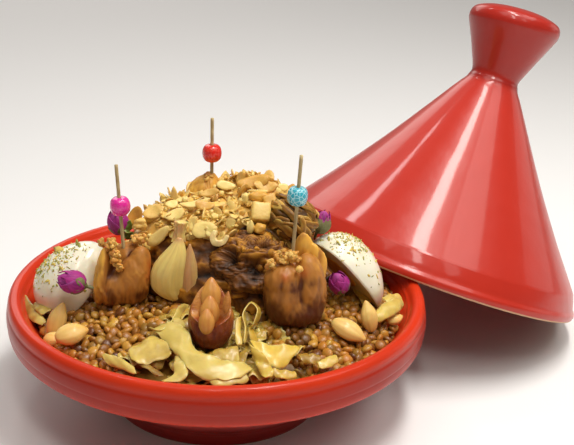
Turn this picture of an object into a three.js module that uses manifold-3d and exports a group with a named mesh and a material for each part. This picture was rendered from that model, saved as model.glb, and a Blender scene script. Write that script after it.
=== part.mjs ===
// A chicken tagine: a red glazed dish on a turned foot, filled with folded bread sheets, lentils and a mound of
// chicken under flaked almonds, garnished with stuffed figs, half eggs, garlic, a filled date, whole almonds and
// rose buds, with its conical lid leaning against the rim.
//
// Millimetres, +Z up. The origin is the middle of the dish's flat foot, on the table. -Y is the serving side.

import * as THREE from 'three';
import { mergeVertices } from 'three/addons/utils/BufferGeometryUtils.js';
import Module from 'manifold-3d';

const wasm = await Module();
wasm.setup();

// ---------------------------------------------------------------- driving dimensions

const TURN = 2 * Math.PI;
const GAP = 0.35;                 // clearance between pieces that touch
const COARSENESS = 0.5;           // how roughly a cut follows the neighbour that it clears
const DISH_SIDES = 30;            // steps of everything turned on the dish's axis
const SMALLEST_EDGE = 0.1;        // shorter edges left by a cut are merged

const DISH_RADIUS = 132.5;        // widest part of the outer band
const DISH_HEIGHT = 75.6;         // table to the crest of the rim
const RIM_RADIUS = 126.5;         // the crest itself
const BAND_HEIGHT = 21;           // the upright band below the rim
const FOOT_RADIUS = 67;
const FLOOR_HEIGHT = 14;          // inside floor above the table

const LID_RADIUS = 113.8;
const LID_KINK = { radius: 107.9, height: 18.7 };
const LID_NECK = { radius: 17.6, height: 147.1 };
const LID_KNOB = { radius: 33.3, height: 185.5 };
const LID_TOP = 199.6;
const LID_WALL = 7;
const LID_LEAN = THREE.MathUtils.degToRad(22.4);      // its axis from the vertical
const LID_BEARING = 0.6228;                            // direction in which it leans, from +X
const LID_REACH = 189;                              // dish axis to the middle of the lid's mouth

const BED_RADIUS = 117.5;         // where the filling meets the wall
const BED_CENTRE = 86;            // height of the filling at the dish's axis
const BED_EDGE = 63;              // and at its edge
const BED_RINGS = [45, 68, 88, 104, 114.4];
const LENTIL_DEPTHS = [9, 9, 9, 9, 3.2];                        // on the same rings
const LENTIL_SPANS = { left: [120, 240], right: [300, 420] };   // degrees round the dish, whole steps
const SHEET_WAVE = 3;             // height of the bread sheets' folds

const MOUND = { x: 2, y: 3, across: 60, deep: 52, top: 133, fall: 0.33, lean: 0.12, foot: 74, sides: 18 };
const MOUND_RINGS = [0, 0.45, 0.7, 0.87, 1];                    // shares of its half width
const TOPPING_DEPTHS = [7.5, 8, 7.5, 4];                        // on the inner ones

// ---------------------------------------------------------------- finishes

const finish = (color, roughness) => new THREE.MeshStandardMaterial({ color, roughness, metalness: 0 });

const LOOKS = {
  redGlaze: finish(0xc8331f, 0.15),
  lentils: finish(0x8a5a22, 0.5),
  sheets: finish(0xd8c06c, 0.45),
  chicken: finish(0x6a4018, 0.5),
  onions: finish(0x77551f, 0.45),
  flakes: finish(0xe3c06e, 0.55),
  eggWhite: finish(0xf1ead2, 0.35),
  yolk: finish(0xe0a030, 0.6),
  fig: finish(0xa8651f, 0.4),
  walnut: finish(0xb87a38, 0.5),
  garlic: finish(0xc9a75c, 0.4),
  date: finish(0x6d2410, 0.3),
  almond: finish(0xdba65c, 0.45),
  glazedAlmond: finish(0xc06a28, 0.3),
  petals: finish(0x9c2468, 0.6),
  sepals: finish(0x58603a, 0.7),
  bamboo: finish(0xcbb98a, 0.6),
  beadPink: finish(0xe2309c, 0.2),
  beadRed: finish(0xd8301e, 0.2),
  beadTurquoise: finish(0x35b6c4, 0.3),
};

// ---------------------------------------------------------------- making closed surfaces

const clamp = (value, low = 0, high = 1) => Math.min(high, Math.max(low, value));
const smooth = (value) => { const t = clamp(value); return t * t * (3 - 2 * t); };
const bump = (offset, width) => Math.exp(-((offset / width) ** 2));
const turnBetween = (a, b) => Math.atan2(Math.sin(a - b), Math.cos(a - b));

/** A repeatable lumpy field of a point, between about -1 and 1. */
function lumps(x, y, z, size, seed) {
  const [a, b, c] = [x / size + seed, y / size - 2.3 * seed, z / size + 0.7 * seed];
  return (Math.sin(a + 1.7 * Math.sin(b)) + Math.sin(1.3 * b + 1.1 * Math.sin(c)) + Math.sin(0.9 * c - 1.9 * a)) / 3;
}

/** Position-only copy with shared corners, without triangles that have no area. */
function welded(geometry) {
  const bare = geometry.clone();
  for (const name of Object.keys(bare.attributes)) if (name !== 'position') bare.deleteAttribute(name);
  const whole = mergeVertices(bare, 1e-4);
  const corners = whole.index.array;
  const kept = [];
  for (let i = 0; i < corners.length; i += 3) {
    const [a, b, c] = [corners[i], corners[i + 1], corners[i + 2]];
    if (a !== b && b !== c && c !== a) kept.push(a, b, c);
  }
  whole.setIndex(kept);
  return whole;
}

/** Six times the signed volume: positive when the faces point out. */
function signedVolume(positions, indices) {
  const [a, b, c] = [new THREE.Vector3(), new THREE.Vector3(), new THREE.Vector3()];
  let sum = 0;
  for (let i = 0; i < indices.length; i += 3) {
    a.fromArray(positions, 3 * indices[i]);
    b.fromArray(positions, 3 * indices[i + 1]);
    c.fromArray(positions, 3 * indices[i + 2]);
    sum += a.dot(b.cross(c));
  }
  return sum;
}

function facesOut(positions, indices) {
  if (signedVolume(positions, indices) < 0) {
    for (let i = 0; i < indices.length; i += 3) [indices[i], indices[i + 1]] = [indices[i + 1], indices[i]];
  }
  const geometry = new THREE.BufferGeometry();
  geometry.setAttribute('position', new THREE.Float32BufferAttribute(positions, 3));
  geometry.setIndex(indices);
  return welded(geometry);
}

/** A closed surface from a function of two numbers: u runs from pole to pole, v once round the axis. */
function roundSurface(rings, sides, point) {
  const positions = [...point(0, 0)];
  for (let i = 1; i < rings; i++) for (let j = 0; j < sides; j++) positions.push(...point(i / rings, j / sides));
  positions.push(...point(1, 0));
  const last = (rings - 1) * sides + 1;
  const at = (i, j) => 1 + (i - 1) * sides + (j % sides);
  const indices = [];
  for (let j = 0; j < sides; j++) {
    indices.push(0, at(1, j + 1), at(1, j));
    for (let i = 1; i < rings - 1; i++) {
      indices.push(at(i, j), at(i, j + 1), at(i + 1, j + 1), at(i, j), at(i + 1, j + 1), at(i + 1, j));
    }
    indices.push(last, at(rings - 1, j), at(rings - 1, j + 1));
  }
  return facesOut(positions, indices);
}

/** A profile of [radius, height] turned round +Z, with its first column at +X. */
function turned(profile, sides) {
  const points = profile.map(([radius, height]) => new THREE.Vector2(radius, height));
  const geometry = welded(new THREE.LatheGeometry(points, sides).rotateX(Math.PI / 2).rotateZ(Math.PI / 2));
  return facesOut(Array.from(geometry.attributes.position.array), Array.from(geometry.index.array));
}

/**
 * A heap between two height functions, on rings of the given radii round (x, y).
 * Angles run from first to last, in whole steps; a full turn closes on itself.
 */
function heap({ x, y, radii, first, last, steps, stretch = 1, top, bottom }) {
  const full = Math.abs(last - first - TURN) < 1e-6;
  const columns = full ? steps : steps + 1;
  const positions = [];
  for (const height of [top, bottom]) {
    for (let i = 0; i < radii.length; i++) {
      for (let j = 0; j < columns; j++) {
        const angle = first + (j / steps) * (last - first);
        const px = x + radii[i] * Math.cos(angle);
        const py = y + radii[i] * stretch * Math.sin(angle);
        positions.push(px, py, height(px, py, i, angle));
      }
    }
  }
  const layer = radii.length * columns;
  const at = (i, j, under) => (under ? layer : 0) + i * columns + (j % columns);
  const indices = [];
  const quad = (a, b, c, d) => indices.push(a, b, c, a, c, d);
  for (let i = 0; i + 1 < radii.length; i++) {
    for (let j = 0; j < steps; j++) {
      quad(at(i, j, 0), at(i + 1, j, 0), at(i + 1, j + 1, 0), at(i, j + 1, 0));
      quad(at(i, j, 1), at(i, j + 1, 1), at(i + 1, j + 1, 1), at(i + 1, j, 1));
    }
  }
  const rim = radii.length - 1;
  for (let j = 0; j < steps; j++) {
    quad(at(rim, j, 0), at(rim, j, 1), at(rim, j + 1, 1), at(rim, j + 1, 0));
    if (radii[0] > 0) quad(at(0, j, 0), at(0, j + 1, 0), at(0, j + 1, 1), at(0, j, 1));
  }
  if (!full) {
    for (let i = 0; i + 1 < radii.length; i++) {
      quad(at(i, 0, 0), at(i, 0, 1), at(i + 1, 0, 1), at(i + 1, 0, 0));
      quad(at(i, steps, 0), at(i + 1, steps, 0), at(i + 1, steps, 1), at(i, steps, 1));
    }
  }
  return facesOut(positions, indices);
}

// ---------------------------------------------------------------- pieces and their cuts

/** One separate piece: its own shape, where it lies, and its finish. */
class Piece {
  constructor(name, look, geometry, { at = [0, 0, 0], turn = new THREE.Quaternion() } = {}) {
    this.name = name;
    this.look = look;
    this.geometry = geometry;
    this.uncut = geometry;
    this.place = new THREE.Matrix4().compose(new THREE.Vector3(...at), turn, new THREE.Vector3(1, 1, 1));
  }

  /** The piece as a solid in the dish's frame; with a clearance, its uncut shape swollen by it. */
  solid(clearance = 0) {
    const shape = (clearance ? this.uncut : this.geometry).clone();
    shape.computeVertexNormals();
    const { position, normal } = shape.attributes;
    for (let i = 0; i < position.count; i++) {
      position.setXYZ(i, position.getX(i) + clearance * normal.getX(i),
        position.getY(i) + clearance * normal.getY(i), position.getZ(i) + clearance * normal.getZ(i));
    }
    shape.applyMatrix4(this.place);
    return new wasm.Manifold(new wasm.Mesh({
      numProp: 3,
      vertProperties: new Float32Array(shape.attributes.position.array),
      triVerts: new Uint32Array(shape.index.array),
    }));
  }

  /** Cuts this piece clear of its neighbours' bulk and keeps the largest part that is left. */
  clearOf(neighbours) {
    let left = this.solid();
    for (const neighbour of neighbours) {
      left = left.subtract(neighbour.solid(GAP + COARSENESS).hull().simplify(COARSENESS));
    }
    const parts = left.decompose().sort((a, b) => b.volume() - a.volume());
    const mesh = parts[0].simplify(SMALLEST_EDGE).getMesh();
    const cut = new THREE.BufferGeometry();
    cut.setAttribute('position', new THREE.Float32BufferAttribute(Array.from(mesh.vertProperties), mesh.numProp));
    cut.setIndex(Array.from(mesh.triVerts));
    this.geometry = cut.applyMatrix4(this.place.clone().invert());
    return this;
  }

  mesh() {
    const mesh = new THREE.Mesh(this.geometry, this.look);
    mesh.name = this.name;
    this.place.decompose(mesh.position, mesh.quaternion, mesh.scale);
    return mesh;
  }
}

/** The turn that takes a piece's own +Z to the given direction, after a spin about it. */
function aimed(direction, spin = 0) {
  const up = new THREE.Vector3(0, 0, 1);
  const lean = new THREE.Quaternion().setFromUnitVectors(up, new THREE.Vector3(...direction).normalize());
  return lean.multiply(new THREE.Quaternion().setFromAxisAngle(up, spin));
}

/** The turn that takes a piece's own +X to `along` and its +Z as near as it can to `upward`. */
function laid(along, upward) {
  const x = new THREE.Vector3(...along).normalize();
  const y = new THREE.Vector3(...upward).cross(x).normalize();
  const z = new THREE.Vector3().crossVectors(x, y);
  return new THREE.Quaternion().setFromRotationMatrix(new THREE.Matrix4().makeBasis(x, y, z));
}

// ---------------------------------------------------------------- dish and lid

/** Inside of the dish, from the middle of its floor to the rim. */
const DISH_INSIDE = [
  [0, FLOOR_HEIGHT], [45, FLOOR_HEIGHT + 1.5], [68, FLOOR_HEIGHT + 8], [88, 34], [104, 48], [115, 60.5],
  [123, 73.6],
];

function dishPiece() {
  const bandFoot = DISH_HEIGHT - BAND_HEIGHT;
  const outside = [
    [RIM_RADIUS, DISH_HEIGHT], [130.2, 73], [DISH_RADIUS, 63], [131.4, bandFoot + 1.6],
    [127.4, bandFoot - 3], [72, 12], [FOOT_RADIUS + 1.4, 3], [FOOT_RADIUS, 0], [0, 0],
  ];
  return new Piece('dish', LOOKS.redGlaze, turned([...DISH_INSIDE, ...outside], DISH_SIDES));
}

/** Radius of the lid's outside at a height above its mouth: a faintly hollow cone. */
function coneRadius(height) {
  const t = (height - LID_KINK.height) / (LID_NECK.height - LID_KINK.height);
  return LID_KINK.radius + t * (LID_NECK.radius - LID_KINK.radius) - 3 * Math.sin(Math.PI * t);
}

function lidPiece() {
  const wall = LID_WALL / Math.cos(Math.atan2(LID_KINK.radius - LID_NECK.radius, LID_NECK.height - LID_KINK.height));
  const halfway = (LID_KINK.height + LID_NECK.height) / 2;
  const outside = [
    [LID_RADIUS - 0.6, 0], [LID_RADIUS, 5.2], [LID_RADIUS - 1.6, 7],
    [LID_KINK.radius, LID_KINK.height], [coneRadius(halfway), halfway],
    [LID_NECK.radius + 2.5, LID_NECK.height - 6], [LID_NECK.radius, LID_NECK.height],
    [LID_NECK.radius + 1.6, LID_NECK.height + 6], [LID_KNOB.radius, LID_KNOB.height],
    [LID_KNOB.radius, LID_KNOB.height + 3.8], [LID_KNOB.radius - 2.6, LID_KNOB.height + 8.4],
    [LID_KNOB.radius - 13, LID_TOP - 1.4], [0, LID_TOP],
  ];
  const inside = [
    [0, LID_NECK.height - 8], [8, LID_NECK.height - 12],
    [coneRadius(halfway) - wall, halfway], [LID_KINK.radius - wall, LID_KINK.height], [LID_RADIUS - LID_WALL, 0],
  ];
  const profile = [...inside, ...outside];
  const axis = [
    Math.sin(LID_LEAN) * Math.cos(LID_BEARING), Math.sin(LID_LEAN) * Math.sin(LID_BEARING), Math.cos(LID_LEAN),
  ];
  const lift = (LID_RADIUS - 0.6) * Math.sin(LID_LEAN) + 0.02;
  const at = [LID_REACH * Math.cos(LID_BEARING), LID_REACH * Math.sin(LID_BEARING), lift];
  // one of the flats' corners points down the slope, so that the lid stands on it
  const spin = Math.round(LID_BEARING / (TURN / DISH_SIDES)) * (TURN / DISH_SIDES) - LID_BEARING;
  return new Piece('lid', LOOKS.redGlaze, turned(profile, DISH_SIDES), { at, turn: aimed(axis, -spin) });
}

// ---------------------------------------------------------------- the filling

const bedHeight = (x, y) => BED_CENTRE - (BED_CENTRE - BED_EDGE) * ((x * x + y * y) / BED_RADIUS ** 2);
const degrees = (angle) => THREE.MathUtils.degToRad(angle);
const inSpan = (angle, [first, last]) => {
  const at = (THREE.MathUtils.radToDeg(angle) + 360) % 360;
  const within = (value) => value > first - 1 && value < last + 1;
  return within(at) || within(at + 360);
};

/** Top of the bread under the lentils, on a ring of the bed. */
const underLentils = (x, y, ring) => bedHeight(x, y) - LENTIL_DEPTHS[ring];

function lentilHeap(name, [first, last]) {
  const edge = BED_RINGS.length - 1;
  return new Piece(name, LOOKS.lentils, heap({
    x: 0, y: 0, radii: BED_RINGS, first: degrees(first), last: degrees(last),
    steps: Math.round((last - first) / (360 / DISH_SIDES)),
    top: (x, y, i) => bedHeight(x, y) + (i === edge ? -0.6 : 1.2 * lumps(x, y, 0, 7, 1.4)),
    bottom: (x, y, i) => underLentils(x, y, i) + GAP,
  }));
}

/** The folded bread sheets: they fill the dish and show between the lentils. */
function sheetBed() {
  const radii = [0, ...BED_RINGS];
  const covered = (angle) => inSpan(angle, LENTIL_SPANS.left) || inSpan(angle, LENTIL_SPANS.right);
  const open = (x, y, i) => bedHeight(x, y) + (i > 1 ? SHEET_WAVE * lumps(x, y, 0, 9, 3.1) : -2);
  return new Piece('bread_sheets', LOOKS.sheets, heap({
    x: 0, y: 0, radii, first: 0, last: TURN, steps: DISH_SIDES,
    top: (x, y, i, angle) => (i === 0 || covered(angle) ? underLentils(x, y, Math.max(0, i - 1)) : open(x, y, i)),
    bottom: (x, y, i) => DISH_INSIDE[i][1] + GAP,
  }));
}

/** The chicken mound: steep sides, a broad top that falls to the left and towards the serving side. */
function moundHeight(x, y) {
  const out = Math.hypot((x - MOUND.x) / MOUND.across, (y - MOUND.y) / MOUND.deep);
  const crown = MOUND.top + MOUND.fall * Math.min(y - 8, 0) + MOUND.lean * x + 2 * lumps(x, y, 0, 11, 5);
  const edge = Math.sqrt(clamp(1 - out ** 5));
  return MOUND.foot + 2 + (crown - MOUND.foot - 2) * edge;
}

/** Rings and steps that the mound and its topping share, so that they lie evenly on each other. */
const moundRings = (shares) => ({
  x: MOUND.x, y: MOUND.y, radii: shares.map((share) => share * MOUND.across), stretch: MOUND.deep / MOUND.across,
  first: 0, last: TURN, steps: MOUND.sides,
});

const moundPiece = () => new Piece('chicken_mound', LOOKS.chicken, heap({
  ...moundRings(MOUND_RINGS), top: moundHeight, bottom: () => MOUND.foot,
}));

const toppingPiece = () => new Piece('almond_flakes', LOOKS.flakes, heap({
  ...moundRings(MOUND_RINGS.slice(0, TOPPING_DEPTHS.length)),
  top: (x, y, i) => moundHeight(x, y) + TOPPING_DEPTHS[i] + (i > 0 ? 1.5 * lumps(x, y, 0, 5, 2) : 0),
  bottom: (x, y) => moundHeight(x, y) + GAP,
}));

/** A torn piece of meat: a lumpy oval with a hollow pressed into the side that faces -Y. */
function meatChunk(name, look, { at, size: [length, depth, height], seed, hollow = 0, lean = [0, 0, 1] }) {
  return new Piece(name, look, roundSurface(8, 12, (u, v) => {
    const [polar, angle] = [Math.PI * u, TURN * v];
    const n = [Math.sin(polar) * Math.cos(angle), Math.sin(polar) * Math.sin(angle), -Math.cos(polar)];
    const swell = 1 + 0.13 * lumps(n[0], n[1], n[2], 0.42, seed);
    const pressed = hollow * bump(turnBetween(angle, -Math.PI / 2), 0.5) * bump(polar - 1.5, 0.55);
    return [n[0] * length * swell, n[1] * depth * (swell - pressed), n[2] * height * swell];
  }), { at, turn: aimed(lean) });
}

// ---------------------------------------------------------------- figs with walnut

/** A fig standing on its base, slit open from the top down the side that faces `slit`. */
function figGeometry({ radius, height, slit, depth, width = 0.5 }) {
  const body = 0.62;                                    // share of u spent on the outer skin
  return roundSurface(9, 12, (u, v) => {
    const angle = TURN * v;
    const open = depth * bump(turnBetween(angle, slit), width);
    const pleats = 1 + 0.035 * Math.cos(9 * angle);
    const lip = height * (1 - open);
    const mouth = radius * 0.5 * pleats;
    if (u <= body) {
      const t = u / body;
      const belly = radius * Math.sin(Math.PI * (0.08 + 0.78 * t)) ** 0.7 * pleats;
      const out = t === 0 ? 0 : belly * (1 - 0.3 * smooth((t - 0.75) / 0.25)) * smooth(t * 6);
      return [out * Math.cos(angle), out * Math.sin(angle), lip * t ** 1.25];
    }
    const t = (u - body) / (1 - body);
    return [mouth * (1 - t) * Math.cos(angle), mouth * (1 - t) * Math.sin(angle), lip - (lip - 0.42 * height) * t];
  });
}

/** Chopped walnut pressed into a fig. */
function walnutGeometry(radius, height, seed) {
  return roundSurface(6, 9, (u, v) => {
    const [polar, angle] = [Math.PI * u, TURN * v];
    const n = [Math.sin(polar) * Math.cos(angle), Math.sin(polar) * Math.sin(angle), -Math.cos(polar)];
    const swell = 1 + 0.2 * lumps(n[0], n[1], n[2], 0.3, seed);
    return n.map((value, k) => value * swell * (k === 2 ? height : radius));
  });
}

const FIGS = [
  { side: 'left', at: [-58, -27, 79], radius: 18.3, height: 40, slit: -1.75, depth: 0.5, seed: 1 },
  { side: 'right', at: [43.5, -49, 77], radius: 19, height: 47, slit: -1.2, depth: 0.28, seed: 2 },
  { side: 'back', at: [-9.5, 21, 111], radius: 13.5, height: 34, slit: 1.8, depth: 0.3, seed: 3 },
];

const figPieces = FIGS.map(({ side, at, ...size }) => new Piece(`fig_${side}`, LOOKS.fig, figGeometry(size), { at }));
const walnutPieces = FIGS.map(({ side, at: [x, y, z], radius, height, slit, seed }) => new Piece(
  `walnut_${side}`, LOOKS.walnut, walnutGeometry(radius * 0.52, height * 0.27, seed),
  { at: [x + 3 * Math.cos(slit), y + 3 * Math.sin(slit), z + height * 0.74] },
));

// ---------------------------------------------------------------- picks with beads

const PICK = { radius: 1, tip: 7 };
const BEAD = { radius: 6, height: 11, bore: 1.7, sides: 8 };
const PICKS = [
  { name: 'left', from: [-56.6, -27, 106], to: [-61, -27, 164.6], bead: 139, look: LOOKS.beadPink },
  { name: 'back', from: [-5.6, 20, 126], to: [-5.9, 20, 180.3], bead: 157.6, look: LOOKS.beadRed },
  { name: 'right', from: [42, -48, 110], to: [45.3, -48, 179.6], bead: 155, look: LOOKS.beadTurquoise },
];

function pickPieces({ name, from, to, bead, look }) {
  const [start, end] = [new THREE.Vector3(...from), new THREE.Vector3(...to)];
  const length = start.distanceTo(end);
  const run = end.clone().sub(start).normalize();
  const threaded = start.clone().addScaledVector(run, (bead - from[2]) / run.z);
  const turn = aimed(run.toArray());
  const stick = turned([[0, 0], [PICK.radius, PICK.tip], [PICK.radius, length], [0, length]], 8);
  const half = BEAD.height / 2;
  const waist = (share) => [BEAD.bore + (BEAD.radius - BEAD.bore) * Math.sin(Math.PI * share) ** 0.6,
    -half * Math.cos(Math.PI * share)];
  const ring = [0, 0.12, 0.3, 0.5, 0.7, 0.88, 1].map(waist);
  return [
    new Piece(`pick_${name}`, LOOKS.bamboo, stick, { at: from, turn }),
    new Piece(`bead_${name}`, look, turned([...ring, ring[0]], BEAD.sides), { at: threaded.toArray(), turn }),
  ];
}

// ---------------------------------------------------------------- half eggs

const EGG = { length: 55, width: 43, blunt: 0.16 };
const EGGS = [
  { side: 'left', at: [-88, -14, 88.5], along: [0.45, 0.1, 0.85], outward: [-0.75, -0.5, 0.45] },
  { side: 'right', at: [80.5, -11, 90.5], along: [0.657, -0.164, -0.735], outward: [0.78, 0.308, 0.564] },
];

/** Half an egg, cut along its length: its own +X is the pointed end and +Z the round side. */
const halfEgg = () => roundSurface(8, 12, (u, v) => {
  const [polar, angle] = [Math.PI * u, TURN * v];
  const out = (EGG.width / 2) * Math.sin(polar) * (1 + EGG.blunt * Math.cos(polar));
  return [-(EGG.length / 2) * Math.cos(polar), out * Math.cos(angle), Math.max(0, out * Math.sin(angle))];
});

/** The yolk's rounded underside sits in the white, and its flat face stands a little proud of the cut. */
const YOLK = { radius: 13, depth: 10, proud: 0.5, shift: -4 };
const halfYolk = () => roundSurface(5, 10, (u, v) => {
  const [polar, angle] = [Math.PI * u, TURN * v];
  const out = YOLK.radius * Math.sin(polar);
  return [YOLK.shift - YOLK.radius * Math.cos(polar), out * Math.cos(angle),
    Math.max(-YOLK.proud, (out * Math.sin(angle) * YOLK.depth) / YOLK.radius)];
});

const eggPieces = EGGS.map(({ side, at, along, outward }) => (
  new Piece(`egg_${side}`, LOOKS.eggWhite, halfEgg(), { at, turn: laid(along, outward) })));
const yolkPieces = EGGS.map(({ side, at, along, outward }) => (
  new Piece(`yolk_${side}`, LOOKS.yolk, halfYolk(), { at, turn: laid(along, outward) })));

// ---------------------------------------------------------------- garlic, date, almonds, rose buds

/** A garlic clove standing on its root: broad below, drawn out to a tip, with one flatter side. */
function cloveGeometry({ radius, height, flat, rings = 7 }) {
  return roundSurface(rings, 8, (u, v) => {
    const angle = TURN * v;
    const out = radius * Math.sin(Math.PI * u ** 0.8) ** 0.8 * (1 - 0.25 * u) * (1 + 0.07 * Math.cos(3 * angle));
    return [out * Math.cos(angle), 0.85 * out * Math.sin(angle) * (1 - flat * (Math.sin(angle) > 0)), height * u];
  });
}

const CLOVES = [
  { name: 'garlic_large', at: [-31, -37, 80.5], radius: 10.6, height: 40, flat: 0.2, lean: [0.03, 0.06, 1] },
  { name: 'garlic_small', at: [-17.5, -37, 81], radius: 7, height: 37, flat: 0.2, lean: [-0.12, 0.05, 1] },
  { name: 'garlic_stem', at: [-24, -33, 118], radius: 4.2, height: 13, flat: 0, rings: 4, lean: [0.1, 0.25, 1] },
];

/** An almond along its own X, blunt at one end and pointed at the other. */
function almondGeometry(length, width, thick) {
  return roundSurface(5, 7, (u, v) => {
    const angle = TURN * v;
    const out = Math.sin(Math.PI * u ** 0.78) ** 0.85;
    return [length * (u - 0.5), 0.5 * width * out * Math.cos(angle), 0.5 * thick * out * Math.sin(angle)];
  });
}

const ALMONDS = [
  { name: 'almond_left_1', at: [-95.5, -46, 75], size: [23, 12.5, 9], along: [0.25, 0.05, 1], face: [0, -1, 0.2] },
  { name: 'almond_left_2', at: [-82, -66.5, 75], size: [20, 14, 9.5], along: [1, 0.35, 0.15], face: [0, -0.5, 1] },
  { name: 'almond_left_3', at: [-95.5, -57, 70.5], size: [13, 11, 8], along: [0.9, -0.5, 0.1], face: [0, -0.4, 1] },
  { name: 'almond_right_1', at: [76, -62, 76], size: [25, 13, 9.5], along: [0.86, -0.35, -0.3], face: [0.1, -0.5, 0.9] },
  { name: 'almond_right_2', at: [88.5, -46, 78], size: [22, 11, 8.5], along: [-0.25, 0.3, 0.95], face: [0.4, -0.9, 0.3] },
  { name: 'almond_right_3', at: [104.5, -36, 70.5], size: [14, 9, 6], along: [0.8, 0.4, 0.2], face: [-0.2, -0.4, 0.9] },
];

const DATE = { at: [-4, -83, 74], length: 42, radius: 13.6, lean: [-0.02, 0.5, 1] };

/** A date stood on end and opened down the side that faces -Y. */
function dateGeometry() {
  return roundSurface(7, 10, (u, v) => {
    const angle = TURN * v;
    const out = DATE.radius * Math.sin(Math.PI * u ** 0.85) ** 0.55;
    const opened = 0.5 * bump(turnBetween(angle, -Math.PI / 2), 0.6) * smooth((u - 0.15) / 0.3);
    const body = out * (1 - opened) * (1 + 0.03 * Math.cos(7 * angle));
    return [body * Math.cos(angle), 0.85 * body * Math.sin(angle), DATE.length * (u - 0.06 * opened)];
  });
}

const DATE_ALMONDS = [
  { name: 'date_almond_1', rise: 15, out: 6.6, side: -0.6, size: [21, 10.5, 7] },
  { name: 'date_almond_2', rise: 24, out: 2.6, side: 1, size: [23, 12, 7] },
  { name: 'date_almond_3', rise: 34, out: -0.6, side: 0.6, size: [22, 11, 6.5] },
];

function dateAlmondPieces() {
  const frame = new THREE.Matrix4().compose(new THREE.Vector3(...DATE.at), aimed(DATE.lean), new THREE.Vector3(1, 1, 1));
  return DATE_ALMONDS.map(({ name, rise, out, side, size }) => new Piece(
    name, LOOKS.glazedAlmond, almondGeometry(...size),
    { at: new THREE.Vector3(side, -out, rise).applyMatrix4(frame).toArray(),
      turn: laid([0.02 * side, 0.42, 1], [0, -1, 0.4]) },
  ));
}

const BUDS = [
  { name: 'left', at: [-80, -43, 92.5], aim: [-1, -0.12, 0.35], radius: 6.6, length: 16 },
  { name: 'behind', at: [-61, -6, 114], aim: [-0.25, -0.1, 1], radius: 6, length: 16 },
  { name: 'right', at: [55.5, -6, 123], aim: [1, -0.1, 0.25], radius: 6, length: 15 },
  { name: 'front', at: [75, -29, 86.5], aim: [-0.35, -0.25, 1], radius: 6.4, length: 15 },
];

/** A shut rose bud along its own Z, its petals wound round it. */
function budGeometry(radius, length) {
  return roundSurface(6, 9, (u, v) => {
    const angle = TURN * v;
    const out = radius * Math.sin(Math.PI * u ** 0.9) ** 0.6 * (1 + 0.07 * Math.cos(3 * angle - 5 * u));
    return [out * Math.cos(angle), out * Math.sin(angle), length * u];
  });
}

/** The green cup and stalk that hold a bud from behind. */
function calyxGeometry(radius, length) {
  return roundSurface(4, 10, (u, v) => {
    const angle = TURN * v;
    const sepal = 0.5 + 0.5 * Math.cos(5 * angle);
    const out = u < 0.35 ? 1.5 : radius * 0.95 * Math.sin(Math.PI * clamp((u - 0.1) / 0.9) ** 0.8) ** 0.5;
    const tall = length * (-0.35 + 0.85 * u * (0.75 + 0.25 * sepal));
    return u === 0 ? [0, 0, -0.35 * length] : [out * Math.cos(angle), out * Math.sin(angle), tall];
  });
}

const budPieces = BUDS.map(({ name, at, aim, radius, length }) => (
  new Piece(`rosebud_${name}`, LOOKS.petals, budGeometry(radius, length), { at, turn: aimed(aim) })));
const calyxPieces = BUDS.map(({ name, at, aim, radius, length }) => (
  new Piece(`calyx_${name}`, LOOKS.sepals, calyxGeometry(radius, length), { at, turn: aimed(aim) })));

// ---------------------------------------------------------------- putting it together

const CHUNKS = [
  { name: 'chicken_front', look: LOOKS.chicken, at: [22, -36, 102], size: [29, 16, 25], seed: 4, hollow: 0.45,
    lean: [0.05, 0.3, 1] },
  { name: 'onions', look: LOOKS.onions, at: [43, -13, 128], size: [19, 18, 14], seed: 9, lean: [0.3, -0.2, 1] },
];

const standing = [
  dishPiece(),
  lidPiece(),
  ...PICKS.flatMap(pickPieces),
  ...walnutPieces,
  ...figPieces,
  ...yolkPieces,
  ...eggPieces,
  ...CLOVES.map(({ name, at, lean, ...size }) => (
    new Piece(name, LOOKS.garlic, cloveGeometry(size), { at, turn: aimed(lean) }))),
  ...dateAlmondPieces(),
  new Piece('date', LOOKS.date, dateGeometry(), { at: DATE.at, turn: aimed(DATE.lean) }),
  ...ALMONDS.map(({ name, at, size, along, face }) => (
    new Piece(name, LOOKS.almond, almondGeometry(...size), { at, turn: laid(along, face) }))),
  ...budPieces,
  ...calyxPieces,
  ...CHUNKS.map(({ name, look, ...shape }) => meatChunk(name, look, shape)),
  moundPiece(),
  toppingPiece(),
  lentilHeap('lentils_left', LENTIL_SPANS.left),
  lentilHeap('lentils_right', LENTIL_SPANS.right),
  sheetBed(),
];

/** Whether two pieces' boxes come within the clearance of each other. */
function near(a, b) {
  const [boxA, boxB] = [a, b].map((piece) => {
    piece.geometry.computeBoundingBox();
    return piece.geometry.boundingBox.clone().applyMatrix4(piece.place).expandByScalar(GAP);
  });
  return boxA.intersectsBox(boxB);
}

// each piece gives way to those listed before it; the dish is built clear of its filling
standing.forEach((piece, index) => {
  const before = standing.slice(0, index).filter((other) => other.name !== 'dish' && near(piece, other));
  const meeting = before.filter((other) => !piece.solid().intersect(other.solid()).isEmpty());
  if (meeting.length) piece.clearOf(meeting);
});

const tagine = new THREE.Group();
tagine.name = 'chicken_tagine';
for (const piece of standing) tagine.add(piece.mesh());

export default tagine;
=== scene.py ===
"""Looks of a chicken tagine: a red glazed dish, its filling and garnish, and the lid that leans on its rim.

Sizes in the classes are millimetres, apart from the studio's lights and floor. The origin is the middle of
the dish's foot, with +Z up and -Y the serving side.
"""

import logging
from abc import ABC, abstractmethod
from dataclasses import dataclass, field
from enum import Enum
from functools import cache
from math import cos, pi, radians, sin
from typing import ClassVar

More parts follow.
